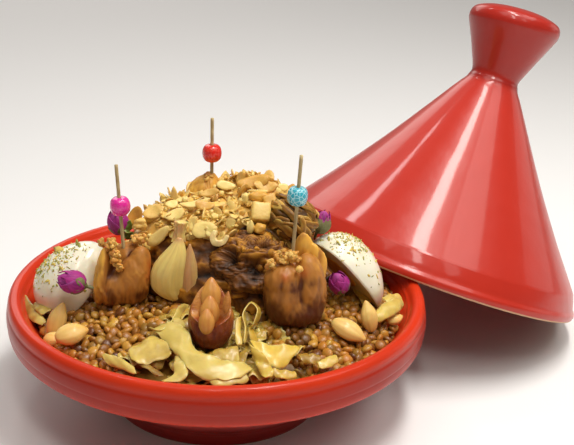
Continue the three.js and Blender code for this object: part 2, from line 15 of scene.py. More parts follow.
import bpy
import numpy as np
from mathutils import Matrix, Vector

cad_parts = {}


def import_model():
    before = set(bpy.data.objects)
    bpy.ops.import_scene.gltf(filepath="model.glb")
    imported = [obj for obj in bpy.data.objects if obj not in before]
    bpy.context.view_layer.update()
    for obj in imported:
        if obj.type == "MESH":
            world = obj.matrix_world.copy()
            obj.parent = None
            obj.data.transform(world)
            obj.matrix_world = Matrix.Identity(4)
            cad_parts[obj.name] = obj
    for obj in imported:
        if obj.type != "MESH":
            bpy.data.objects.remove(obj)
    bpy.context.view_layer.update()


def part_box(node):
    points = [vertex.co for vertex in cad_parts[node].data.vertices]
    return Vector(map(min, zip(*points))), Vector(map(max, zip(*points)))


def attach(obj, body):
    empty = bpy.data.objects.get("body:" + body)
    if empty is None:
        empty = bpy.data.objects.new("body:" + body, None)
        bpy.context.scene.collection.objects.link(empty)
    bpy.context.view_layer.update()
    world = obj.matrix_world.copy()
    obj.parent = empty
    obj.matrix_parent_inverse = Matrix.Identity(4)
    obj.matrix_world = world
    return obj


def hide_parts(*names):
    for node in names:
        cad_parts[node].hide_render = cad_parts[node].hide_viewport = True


Array = np.ndarray
Point = tuple[float, float, float]
Range = tuple[float, float]
Profile = tuple[Range, ...]
Colour = tuple[float, float, float, float]

MM = 0.001
TURN = 2 * pi
FRONT = -pi / 2  # the angle of the serving side
STILL = np.eye(3)  # no turn
HASH = (73856093, 19349663, 83492791)  # mixes a cell's three numbers into one
log = logging.getLogger("tagine")


# ---- shader nodes ----


class Value:
    """One output socket of a material, with arithmetic that adds Math nodes."""

    def __init__(self, graph: "Graph", socket: bpy.types.NodeSocket) -> None:
        """Wraps a socket of a graph."""
        self.graph = graph
        self.socket = socket

    def __add__(self, other: "Value | float") -> "Value":
        """Sum."""
        return self.graph.math("ADD", self, other)

    def __mul__(self, other: "Value | float") -> "Value":
        """Product."""
        return self.graph.math("MULTIPLY", self, other)

    def __sub__(self, other: "Value | float") -> "Value":
        """Difference."""
        return self.graph.math("SUBTRACT", self, other)

    def __rsub__(self, other: float) -> "Value":
        """Difference from a number."""
        return self.graph.math("SUBTRACT", other, self)

    __radd__ = __add__

    def within(self, low: float, high: float) -> "Value":
        """A smooth step from 0 at low to 1 at high."""
        sockets = {"Value": self, "From Min": low, "From Max": high}
        return self.graph.node("MapRange", sockets, interpolation_type="SMOOTHSTEP")

    def ramp(self, *stops: tuple[float, Colour]) -> "Value":
        """A colour from a ramp.

        Args:
            *stops: places from 0 to 1, each with its colour.

        Returns:
            The colour at this value.
        """
        colour = self.graph.node("ValToRGB", {"Fac": self})
        elements = colour.socket.node.color_ramp.elements
        while len(elements) < len(stops):
            elements.new(0.5)
        for element, stop in zip(elements, stops):
            element.position, element.color = stop
        return colour


class Graph:
    """A material's nodes: one Principled shader, and what is added in front of it."""

    def __init__(self, name: str) -> None:
        """Starts a material that has only its shader.

        Args:
            name: the material's name.
        """
        self.material = bpy.data.materials.new(name)
        self.material.use_nodes = True
        self.tree = self.material.node_tree
        self.tree.nodes.clear()
        self.shader = self.tree.nodes.new("ShaderNodeBsdfPrincipled")
        output = self.tree.nodes.new("ShaderNodeOutputMaterial")
        self.tree.links.new(self.shader.outputs[0], output.inputs["Surface"])
        self.place = self.node("TexCoord", {}, "Object")
        self.even = self.stretched((1, 1, 1))

    def node(self, kind: str, sockets: dict, output: str | int = 0, **settings: str) -> Value:
        """Adds a node.

        Args:
            kind: the node's type, without its prefix.
            sockets: values or links of its inputs, by index, name or identifier.
            output: which output to return.
            **settings: its properties, which are set before the inputs.

        Returns:
            The output as a value.
        """
        made = self.tree.nodes.new(f"ShaderNode{kind}")
        for name, setting in settings.items():
            setattr(made, name, setting)
        inputs = {socket.identifier: socket for socket in made.inputs}
        for name, value in sockets.items():
            self.feed(inputs.get(name) or made.inputs[name], value)
        return Value(self, made.outputs[output])

    def feed(self, socket: bpy.types.NodeSocket, value: object) -> None:
        """Links or sets an input.

        Args:
            socket: the input.
            value: a value to link, or a number, colour or vector to set.
        """
        if isinstance(value, Value):
            self.tree.links.new(value.socket, socket)
        else:
            socket.default_value = value

    def math(self, operation: str, *values: "Value | float") -> Value:
        """A Math node on one or two values."""
        return self.node("Math", dict(enumerate(values)), operation=operation)

    def stretched(self, along: Point) -> Value:
        """Object coordinates in millimetres, divided along each axis by the given factors."""
        scale = tuple(1 / (MM * share) for share in along)
        return self.node("VectorMath", {0: self.place, 1: scale}, operation="MULTIPLY")

    def noise(self, size: float, detail: float, rough: float = 0.55, where: Value | None = None) -> Value:
        """Soft noise from 0 to 1 with features of a size in millimetres, in more or less detail."""
        sockets = {"Vector": where or self.even, "Scale": 1 / size, "Detail": detail, "Roughness": rough}
        return self.node("TexNoise", sockets)

    def cells(self, size: float) -> Value:
        """Distance to the edges of random cells of a size in millimetres."""
        sockets = {"Vector": self.even, "Scale": 1 / size}
        return self.node("TexVoronoi", sockets, "Distance", feature="DISTANCE_TO_EDGE")

    def mark(self, name: str) -> Value:
        """A number kept at the points of the mesh."""
        return self.node("Attribute", {}, "Fac", attribute_name=name)

    def mix(self, factor: "Value | float", first: "Value | Colour", second: "Value | Colour") -> Value:
        """A colour between two."""
        sockets = {"Factor_Float": factor, "A_Color": first, "B_Color": second}
        return self.node("Mix", sockets, 2, data_type="RGBA")

    def bump(self, height: Value, depth: float) -> None:
        """Relief of a depth in millimetres from a height of 0 to 1."""
        self.wear(Normal=self.node("Bump", {"Height": height, "Distance": depth * MM, "Strength": 1.0}))

    def glow(self, weight: float, spread: Point, depth: float) -> None:
        """Light that passes under the surface: how much, how far each colour spreads, and how deep in mm."""
        self.wear(Subsurface_Weight=weight, Subsurface_Radius=spread, Subsurface_Scale=depth * MM)

    def wear(self, **sockets: object) -> None:
        """Feeds the shader's inputs; a name's underscores stand for spaces."""
        for name, value in sockets.items():
            self.feed(self.shader.inputs[name.replace("_", " ")], value)


def tint(red: float, green: float, blue: float) -> Colour:
    """A display colour of 0 to 255 as the shader's linear colour."""
    share = np.array([red, green, blue]) / 255
    return (*np.where(share <= 0.04045, share / 12.92, ((share + 0.055) / 1.055) ** 2.4).tolist(), 1.0)


# ---- finishes ----


@dataclass(frozen=True)
class Finish(ABC):
    """What every finish has: a name, and a way to wire its look."""

    name: str

    @abstractmethod
    def wire(self, graph: Graph) -> None:
        """Wires the look into the nodes of a new material."""

    @cache
    def material(self) -> bpy.types.Material:
        """The finish as a material, made when it is first asked for."""
        self.wire(graph := Graph(self.name))
        return graph.material


@dataclass(frozen=True)
class RedGlaze(Finish):
    """Glossy tomato-red glaze with faint turning lines, darker where painted shade is marked, and bare clay
    at given edges.
    """

    body: Colour
    # the colour that the painted shade mixes in
    deep: Colour
    clay: Colour = tint(206, 164, 128)
    roughness: float = 0.36
    coat: float = 0.4
    index: float = 1.32

    def wire(self, graph: Graph) -> None:
        """Wires the look, which reads the marks bare and rise, and the mark of painted shade.

        Args:
            graph: the nodes of a new material.
        """
        cloud = graph.noise(55, 2)
        speck = graph.noise(1.1, 1).within(0.72, 0.8)
        # the glaze's own mottling and specks, plus the painted shade of the mark
        shade = cloud.within(0.3, 0.8) * 0.12 + speck * 0.12 + graph.mark("shade")
        bare = graph.mark("bare").within(0.35, 0.65)
        colour = graph.mix(bare, graph.mix(shade, self.body, self.deep), self.clay)
        graph.wear(Base_Color=colour, Roughness=self.roughness + bare * 0.3, IOR=self.index)
        graph.wear(Coat_Weight=self.coat - bare * self.coat, Coat_Roughness=0.09)
        lines = graph.math("SINE", graph.mark("rise") * 0.55 + graph.noise(40, 2) * 6) * 0.5
        dents = graph.noise(24, 1) * 4 + graph.noise(9, 2) * 1.1 + graph.noise(2.2, 1) * 0.05
        graph.bump(lines * 0.4 + dents - speck * 0.05, 0.15)


@dataclass(frozen=True)
class Moist(Finish):
    """Moist food whose colour runs through three shades by a mark and by noise, with fine relief."""

    dark: Colour
    middle: Colour
    light: Colour
    grain: float = 2.0
    relief: float = 0.25
    roughness: float = 0.38
    glow: float = 0.12
    noisy: float = 0.5
    stretch: Point = (1, 1, 1)
    sheen: float = 0.0

    def wire(self, graph: Graph) -> None:
        """Wires the look, which reads the mark tone.

        Args:
            graph: the nodes of a new material.
        """
        where = graph.stretched(self.stretch)
        fine = graph.noise(self.grain, 4, 0.6, where)
        broad = graph.noise(self.grain * 6, 2, 0.5, where)
        blend = graph.mark("tone") * (1 - self.noisy) + (fine * 0.5 + broad * 0.5) * self.noisy
        colour = blend.ramp((0.18, self.dark), (0.5, self.middle), (0.8, self.light))
        graph.wear(Base_Color=colour, Roughness=self.roughness + fine * 0.2 - 0.1, IOR=1.36)
        graph.wear(Coat_Weight=self.sheen, Coat_Roughness=0.12)
        graph.glow(self.glow, (1.0, 0.5, 0.2), 2.5)
        graph.bump(fine * 0.7 + broad * 0.3, self.relief)


@dataclass(frozen=True)
class Rimmed(Finish):
    """Food with a differently coloured edge or end, by the mark rim, over shades by the mark tone."""

    low: Colour
    high: Colour
    rim: Colour
    start: float = 0.6
    end: float = 1.0
    strength: float = 0.9
    grain: float = 1.2
    relief: float = 0.12
    roughness: float = 0.4
    glow: float = 0.15
    sheen: float = 0.0
    gold: Colour = tint(232, 190, 52)

    def wire(self, graph: Graph) -> None:
        """Wires the look, which reads the marks tone, rim and gold.

        Args:
            graph: the nodes of a new material.
        """
        fine = graph.noise(self.grain, 3)
        body = graph.mix((graph.mark("tone") * 0.75 + fine * 0.5 - 0.12).within(0, 1), self.low, self.high)
        body = graph.mix(graph.mark("gold") * 0.8, body, self.gold)
        edge = (graph.mark("rim") + fine * 0.3 - 0.15).within(self.start, self.end) * self.strength
        graph.wear(Base_Color=graph.mix(edge, body, self.rim), Roughness=self.roughness)
        graph.wear(Coat_Weight=self.sheen, Coat_Roughness=0.15)
        graph.glow(self.glow, (1.0, 0.6, 0.3), 2)
        graph.bump(fine, self.relief)


@dataclass(frozen=True)
class Streaked(Finish):
    """A skin or fibre with fine streaks that run along the mark rise and change round the mark round."""

    pale: Colour
    dark: Colour
    flush: Colour
    lines: float = 40
    strength: float = 0.5
    relief: float = 0.15
    roughness: float = 0.35
    glow: float = 0.2
    sheen: float = 0.0
    blush: Colour = tint(178, 92, 34)

    def wire(self, graph: Graph) -> None:
        """Wires the look, which reads the marks round, rise, blush and tone (0 dark, 0.5 plain, 1 flush).

        Args:
            graph: the nodes of a new material.
        """
        tone = graph.mark("tone")
        where = {"X": graph.mark("round") * self.lines, "Y": graph.mark("rise") * 1.5, "Z": tone * 2}
        streaks = graph.noise(1, 4, 0.5, graph.node("CombineXYZ", where))
        cloud = graph.noise(7, 3)
        tone = tone + cloud * 0.3 - 0.15
        body = graph.mix(streaks.within(0.35, 0.75) * self.strength, self.pale, self.dark)
        body = graph.mix(tone.within(0.55, 1), body, self.flush)
        body = graph.mix(1 - tone.within(0, 0.45), body, self.dark)
        body = graph.mix(graph.mark("blush"), body, self.blush)
        graph.wear(Base_Color=body, Roughness=self.roughness + streaks * 0.15, IOR=1.38)
        graph.wear(Coat_Weight=self.sheen, Coat_Roughness=0.15)
        graph.glow(self.glow, (1.0, 0.6, 0.3), 3)
        graph.bump(streaks * 0.6 + cloud * 0.4, self.relief)


@dataclass(frozen=True)
class Crackle(Finish):
    """Glossy bead with a net of pale crazing lines."""

    body: Colour
    line: Colour
    strength: float = 0.8
    size: float = 2.4
    roughness: float = 0.22

    def wire(self, graph: Graph) -> None:
        """Wires the look.

        Args:
            graph: the nodes of a new material.
        """
        net = 1 - graph.cells(self.size).within(0.02, 0.12)
        body = graph.mix(net * self.strength, self.body, self.line)
        body = graph.mix(graph.noise(3, 2).within(0.5, 0.8) * 0.25, body, self.line)
        graph.wear(Base_Color=body, Roughness=self.roughness, Coat_Weight=0.6, Coat_Roughness=0.08)
        graph.bump(1 - net, 0.1)


# ---- surfaces ----


@dataclass
class Shape:
    """A closed surface: points in millimetres, faces of four and three corners, and marks at the points."""

    points: Array
    quads: Array
    triangles: Array
    marks: dict[str, Array] = field(default_factory=dict)

    def outward(self) -> "Shape":
        """Turns the faces round if the signed volume says that they point in.

        Returns:
            The shape itself.
        """
        corners = np.concatenate([self.triangles, self.quads[:, [0, 1, 2]], self.quads[:, [0, 2, 3]]])
        a, b, c = (self.points[corners[:, k]] for k in range(3))
        if np.einsum("ij,ij->", a, np.cross(b, c)) < 0:
            self.quads = self.quads[:, ::-1]
            self.triangles = self.triangles[:, ::-1]
        return self

    def moved(self, turn: Array, at: Point | Array) -> "Shape":
        """The shape turned by a 3 by 3 matrix and then moved."""
        points = self.points @ np.asarray(turn).T + np.asarray(at)
        return Shape(points, self.quads, self.triangles, self.marks)

    def marked(self, **marks: float | Array) -> "Shape":
        """The shape with marks that are the same all over it or given for each point."""
        self.marks = self.marks | {k: np.full(len(self.points), v, float) for k, v in marks.items()}
        return self

    def copies(self, turns: Array, places: Array, sizes: Array, **marks: Array) -> "Shape":
        """Many copies: each is scaled by its size, turned, moved, and has its own marks.

        Args:
            turns: a 3 by 3 matrix for each copy.
            places: where the copies go.
            sizes: a scale for each copy, one number or one for each axis.
            **marks: a number for each copy.

        Returns:
            All copies as one shape.
        """
        count, own = len(places), len(self.points)
        scale = np.asarray(sizes, float).reshape(count, 1, -1)
        points = np.einsum("nij,npj->npi", turns, self.points[None] * scale) + places[:, None]
        shift = (np.arange(count) * own)[:, None, None]
        kept = {name: np.tile(values, count) for name, values in self.marks.items()}
        kept.update({name: np.repeat(values, own) for name, values in marks.items()})
        quads = (self.quads[None] + shift).reshape(-1, 4)
        triangles = (self.triangles[None] + shift).reshape(-1, 3)
        return Shape(points.reshape(-1, 3), quads, triangles, kept)


def joined(shapes: list[Shape]) -> Shape:
    """Several shapes as one.

    Args:
        shapes: the shapes.

    Returns:
        One shape with the marks that any of them has, which are 0.5 where a shape lacks them.
    """
    shifts = np.cumsum([0] + [len(s.points) for s in shapes[:-1]])
    names = sorted({name for s in shapes for name in s.marks})
    plain = [np.full(len(s.points), 0.5) for s in shapes]
    marks = {name: np.concatenate([s.marks.get(name, p) for s, p in zip(shapes, plain)]) for name in names}
    points = np.concatenate([s.points for s in shapes])
    quads = np.concatenate([s.quads + shift for s, shift in zip(shapes, shifts)])
    triangles = np.concatenate([s.triangles + shift for s, shift in zip(shapes, shifts)])
    return Shape(points, quads, triangles, marks)


def rounded(points: Array, **marks: float | Array) -> Shape:
    """A closed surface from a grid of points: rows run from pole to pole and columns once round.

    Faces lie between neighbours on the grid, and are triangles next to the poles.

    Args:
        points: the grid; its first and last rows are one point each.
        **marks: numbers on the same grid, or one number for all of it.

    Returns:
        The surface, with its faces outward.
    """
    rows, columns = points.shape[:2]
    ids = np.arange(rows * columns).reshape(rows, columns)
    ids[0] = ids[0, 0]
    ids[-1] = ids[-1, 0]
    used, index = np.unique(np.concatenate([ids, ids[:, :1]], 1), return_inverse=True)
    index = index.reshape(rows, columns + 1)
    corners = np.stack([index[:-1, :-1], index[1:, :-1], index[1:, 1:], index[:-1, 1:]], -1)
    triangles = np.concatenate([corners[0][:, :3], corners[-1][:, [0, 1, 3]]])
    kept = {name: np.broadcast_to(v, (rows, columns)).reshape(-1)[used] for name, v in marks.items()}
    return Shape(points.reshape(-1, 3)[used], corners[1:-1].reshape(-1, 4), triangles, kept).outward()


def leaf(top: Array, bottom: Array, **marks: float | Array) -> Shape:
    """A thin closed sheet with two faces and a wall between their edges.

    Args:
        top: the grid of one face.
        bottom: the grid of the other.
        **marks: numbers on the same grid, or one number for all of it.

    Returns:
        The sheet, with its faces outward.
    """
    rows, columns = top.shape[:2]
    count = rows * columns
    ids = np.arange(count).reshape(rows, columns)
    edges = (ids[0], ids[:, -1], ids[-1, ::-1], ids[::-1, 0])
    wall = [np.stack([edge[:-1], edge[:-1] + count, edge[1:] + count, edge[1:]], -1) for edge in edges]
    upper = np.stack([ids[:-1, :-1], ids[:-1, 1:], ids[1:, 1:], ids[1:, :-1]], -1).reshape(-1, 4)
    quads = np.concatenate([upper, upper[:, ::-1] + count, *wall])
    points = np.concatenate([top.reshape(-1, 3), bottom.reshape(-1, 3)])
    kept = {name: np.tile(np.broadcast_to(v, (rows, columns)).reshape(-1), 2) for name, v in marks.items()}
    return Shape(points, quads, np.zeros((0, 3), int), kept).outward()


def grid(rows: int, columns: int, closed: bool = True) -> tuple[Array, Array]:
    """Two numbers on a grid: u from 0 to 1 down the rows, v from 0 up to 1 round or across the columns."""
    across = np.linspace(0, 1, columns, endpoint=not closed)
    return np.meshgrid(np.linspace(0, 1, rows), across, indexing="ij")


def there_and_back(u: Array, share: float) -> Array:
    """Rises from 0 to 1 over the first share of u and falls to 0 over the rest."""
    return np.where(u < share, u / share, (1 - u) / (1 - share))


def around(radius: Array | float, angle: Array, height: Array | float) -> Array:
    """Points at a radius, an angle and a height about +Z."""
    return np.stack(np.broadcast_arrays(radius * np.cos(angle), radius * np.sin(angle), height), -1)


def spline(knots: Array | tuple, count: int) -> Array:
    """A smooth line through knots (Catmull-Rom): each span is a cubic that leaves along its neighbours.

    Args:
        knots: numbers or points.
        count: how many places along the line.

    Returns:
        The numbers or points at those places, evenly spaced between the knots.
    """
    knots = np.asarray(knots, float)
    if knots.ndim == 1:
        return spline(knots[:, None], count)[:, 0]
    padded = np.concatenate([2 * knots[:1] - knots[1:2], knots, 2 * knots[-1:] - knots[-2:-1]])
    at = np.linspace(0, len(knots) - 1, count)
    span = np.minimum(at.astype(int), len(knots) - 2)
    t = (at - span)[:, None]
    a, b, c, d = (padded[span + k] for k in range(4))
    return 0.5 * (2 * b + (c - a) * t + (2 * a - 5 * b + 4 * c - d) * t**2 + (3 * b - a - 3 * c + d) * t**3)


def unit(vectors: Array | Point) -> Array:
    """Vectors shortened or stretched to length one."""
    vectors = np.asarray(vectors, float)
    return vectors / np.maximum(np.linalg.norm(vectors, axis=-1, keepdims=True), 1e-9)


def facing(along: Array | Point, upward: Array | Point) -> Array:
    """Turns that take +X to one way and +Z as near as they can to another.

    Args:
        along: where +X goes, for one turn or many.
        upward: where +Z should go.

    Returns:
        A 3 by 3 matrix for each.
    """
    x = unit(along)
    y = unit(np.cross(np.broadcast_to(upward, x.shape), x))
    return np.stack([x, y, np.cross(x, y)], -1)


def standing(direction: Array | Point) -> Array:
    """The turn that takes +Z to a direction, and +Y as near as it can to the world's."""
    side = (0, 1, 0) if abs(unit(direction)[1]) < 0.9 else (1, 0, 0)
    return facing(direction, side)[:, [1, 2, 0]]


def rough(points: Array, size: float, seed: int, octaves: int = 1) -> Array:
    """Smooth noise of points from about -1 to 1: random numbers on a lattice, blended by smooth steps.

    Args:
        points: where, with three coordinates last.
        size: spacing of the lattice; each further octave has half the spacing and half the height.
        seed: which noise.
        octaves: how many are added.

    Returns:
        One number for each point.
    """
    total = np.zeros(points.shape[:-1])
    for octave in range(octaves):
        at = points * (2**octave / size) + 17.3 * seed + 5.1 * octave
        cell = np.floor(at).astype(np.int64)
        t = at - cell
        t = t * t * (3 - 2 * t)
        for corner in range(8):
            step = np.array([corner & 1, corner >> 1 & 1, corner >> 2])
            key = (cell + step) @ np.array(HASH) + 7919 * (seed + 13 * octave)
            key = (key ^ (key >> 13)) * 1274126177 & 0x7FFFFFFF
            key = (key ^ (key >> 15)) * 668265263 & 0x7FFFFFFF
            weight = np.prod(np.where(step, t, 1 - t), -1)
            total += weight * (key / 0x3FFFFFFF - 1) * 0.5**octave
    return total


def step(values: Array, low: float, high: float) -> Array:
    """A smooth step from 0 at low to 1 at high."""
    t = np.clip((values - low) / (high - low), 0, 1)
    return t * t * (3 - 2 * t)


def bell(values: Array, width: float) -> Array:
    """A bump of height one at zero that falls off over a width."""
    return np.exp(-((values / width) ** 2))


def turn_between(a: Array, b: float) -> Array:
    """The signed angle from b to a."""
    return np.arctan2(np.sin(a - b), np.cos(a - b))


def normals(points: Array) -> Array:
    """Unit normals of a grid of points, from the directions along its rows and columns."""
    return unit(np.cross(np.gradient(points, axis=0), np.gradient(points, axis=1)))


def softened(values: Array, times: int) -> Array:
    """Numbers on a grid that closes round its columns, each averaged with its neighbours.

    Args:
        values: the numbers.
        times: how often they are averaged.

    Returns:
        The softened numbers.
    """
    for _ in range(times):
        values = (values + np.roll(values, 1, 1) + np.roll(values, -1, 1)) / 3
        inner = (values[:-2] + values[1:-1] + values[2:]) / 3
        values = np.concatenate([values[:1], inner, values[-1:]])
    return values


class Dice(np.random.Generator):
    """Seeded random draws."""

    def __init__(self, seed: int) -> None:
        """Starts the draws of a seed."""
        super().__init__(np.random.PCG64(seed))

    def ways(self, count: int, spread: float = 1) -> Array:
        """Random vectors with normal parts."""
        return self.normal(0, spread, (count, 3))

    def turns(self, count: int) -> Array:
        """Random turns."""
        return facing(self.ways(count), self.ways(count))

    def sizes(self, count: int, size: Range, uneven: Range) -> Array:
        """A random size for each of many copies, times a random share for each of its axes."""
        return self.uniform(*size, (count, 1)) * self.uniform(*uneven, (count, 3))

    def tones(self, count: int, mean: float, spread: float) -> Array:
        """Random shares round a mean, kept from 0 to 1."""
        return np.clip(self.normal(mean, spread, count), 0, 1)


@dataclass(frozen=True)
class Oval:
    """One lobe of a lumpy form: its middle, its half sizes and its turn about Y in degrees."""

    at: Point
    size: Point
    turn: float = 0

    def own(self) -> Array:
        """The matrix that takes directions to the oval's unit space."""
        c, s = cos(radians(self.turn)), sin(radians(self.turn))
        return np.array([[c, 0, s], [0, 1, 0], [-s, 0, c]]) / np.array(self.size)


@dataclass(frozen=True)
class Lobes:
    """A form seen from one point inside it: the furthest of several ovals in every direction.

    Along a direction d the far crossing of an oval is (b + sqrt(b^2 - a k)) / a, with a = |d|^2, b = -d.c
    and k = |c|^2 - 1 in the oval's own unit space, where c leads from its middle to the inner point. The
    crossings are joined by the logarithm of their summed exponentials, which leaves a soft crease.
    """

    inner: Point
    ovals: tuple[Oval, ...]
    blend: float = 0.8
    soft: int = 2
    crease: int = 14

    def reach(self, ways: Array) -> Array:
        """Distance from the inner point to the surface.

        Args:
            ways: unit directions on a grid.

        Returns:
            The distance along each.
        """
        total = np.zeros(ways.shape[:2])
        for oval in self.ovals:
            d = ways @ oval.own()
            c = (np.array(self.inner) - oval.at) @ oval.own()
            a, b, k = (d * d).sum(-1), -(d @ c), c @ c - 1
            root = b * b - a * k
            far = np.where(root > 0, (b + np.sqrt(np.maximum(root, 0))) / a, 0)
            total += np.exp(np.maximum(far, 0) / self.blend)
        return softened(self.blend * np.log(total), self.soft)

    def surface(self, rows: int, columns: int) -> tuple[Array, Array, Array, Array]:
        """A grid over the form.

        Args:
            rows: from the lowest to the highest point.
            columns: once round.

        Returns:
            The points, the share down the rows, the angle round, and how deep each point lies in a crease.
        """
        ways, u, angle = ball(rows, columns)
        reach = self.reach(ways)
        crease = softened(reach, self.crease) - reach
        return np.array(self.inner) + ways * reach[..., None], u, angle, crease


def ball(rows: int, columns: int) -> tuple[Array, Array, Array]:
    """Unit directions on a grid from lowest to highest, the share of that way and the angle round."""
    u, v = grid(rows, columns)
    return around(np.sin(pi * u), TURN * v, -np.cos(pi * u)), u, TURN * v


def nugget(rows: int, columns: int, seed: int, lumps: float = 0.38) -> Shape:
    """A lumpy crumb about one across: radius half of 1 + lumps times noise of the direction.

    Args:
        rows: of its grid; a coarse crumb has no fine lumps.
        columns: of its grid.
        seed: which noise.
        lumps: height of the lumps.

    Returns:
        The crumb.
    """
    ways = ball(rows, columns)[0]
    bumps = rough(ways, 0.75, seed) + 0.35 * rough(ways, 0.33, seed + 1, 2) * (rows > 10)
    return rounded(ways * 0.5 * (1 + lumps * bumps)[..., None], rim=np.clip(0.35 + 0.4 * bumps, 0, 1))


def diced(seed: int) -> Shape:
    """A rounded cube about one across: every coordinate of a direction raised to 0.3, with worn faces.

    Args:
        seed: which noise.

    Returns:
        The cube.
    """
    ways = ball(33, 40)[0]
    points = 0.5 * np.sign(ways) * np.abs(ways) ** 0.3
    points = points * (1 + 0.07 * rough(points, 0.5, seed, 3))[..., None]
    return rounded(points, rim=np.clip(0.3 + 0.4 * rough(points, 0.3, seed + 2, 2), 0, 1))


def box(node: str) -> tuple[Array, Array]:
    """Lowest and highest corner of a node, in millimetres."""
    low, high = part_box(node)
    return np.array(low) / MM, np.array(high) / MM


def middle(node: str) -> Array:
    """Middle of a node's box, in millimetres."""
    low, high = box(node)
    return (low + high) / 2


def foot(node: str) -> Array:
    """Middle of the underside of a node's box, in millimetres."""
    return np.array([*middle(node)[:2], box(node)[0][2]])


def linked(name: str, data: bpy.types.ID) -> bpy.types.Object:
    """A new object of the scene, with a mesh, light or camera as its data."""
    bpy.context.scene.collection.objects.link(made := bpy.data.objects.new(name, data))
    return made


def put(name: str, shape: Shape, finish: Finish, slot: str, *nodes: str) -> None:
    """Makes a piece: mesh, marks, material and body, and hides the nodes that it stands for.

    Args:
        name: the piece's name.
        shape: its surface.
        finish: its look.
        slot: the record's material slot; not used.
        *nodes: the solids that it replaces.
    """
    mesh = bpy.data.meshes.new(name)
    mesh.vertices.add(len(shape.points))
    mesh.vertices.foreach_set("co", (shape.points * MM).astype(np.float32).ravel())
    sizes = np.concatenate([np.full(len(shape.quads), 4), np.full(len(shape.triangles), 3)])
    loops = np.concatenate([shape.quads.ravel(), shape.triangles.ravel()])
    mesh.loops.add(len(loops))
    mesh.loops.foreach_set("vertex_index", loops.astype(np.int32))
    mesh.polygons.add(len(sizes))
    mesh.polygons.foreach_set("loop_start", (np.cumsum(sizes) - sizes).astype(np.int32))
    mesh.polygons.foreach_set("use_smooth", np.ones(len(sizes), bool))
    mesh.update(calc_edges=True)
    for mark, values in shape.marks.items():
        attribute = mesh.attributes.new(mark, "FLOAT", "POINT")
        attribute.data.foreach_set("value", values.astype(np.float32))
    mesh.materials.append(finish.material())
    piece = linked(name, mesh)
    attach(piece, "root")
    if nodes:
        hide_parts(*nodes)
    log.info("%s: %d faces, stands for %s", name, len(sizes), ", ".join(nodes) or "nothing")


# ---- dish and lid ----


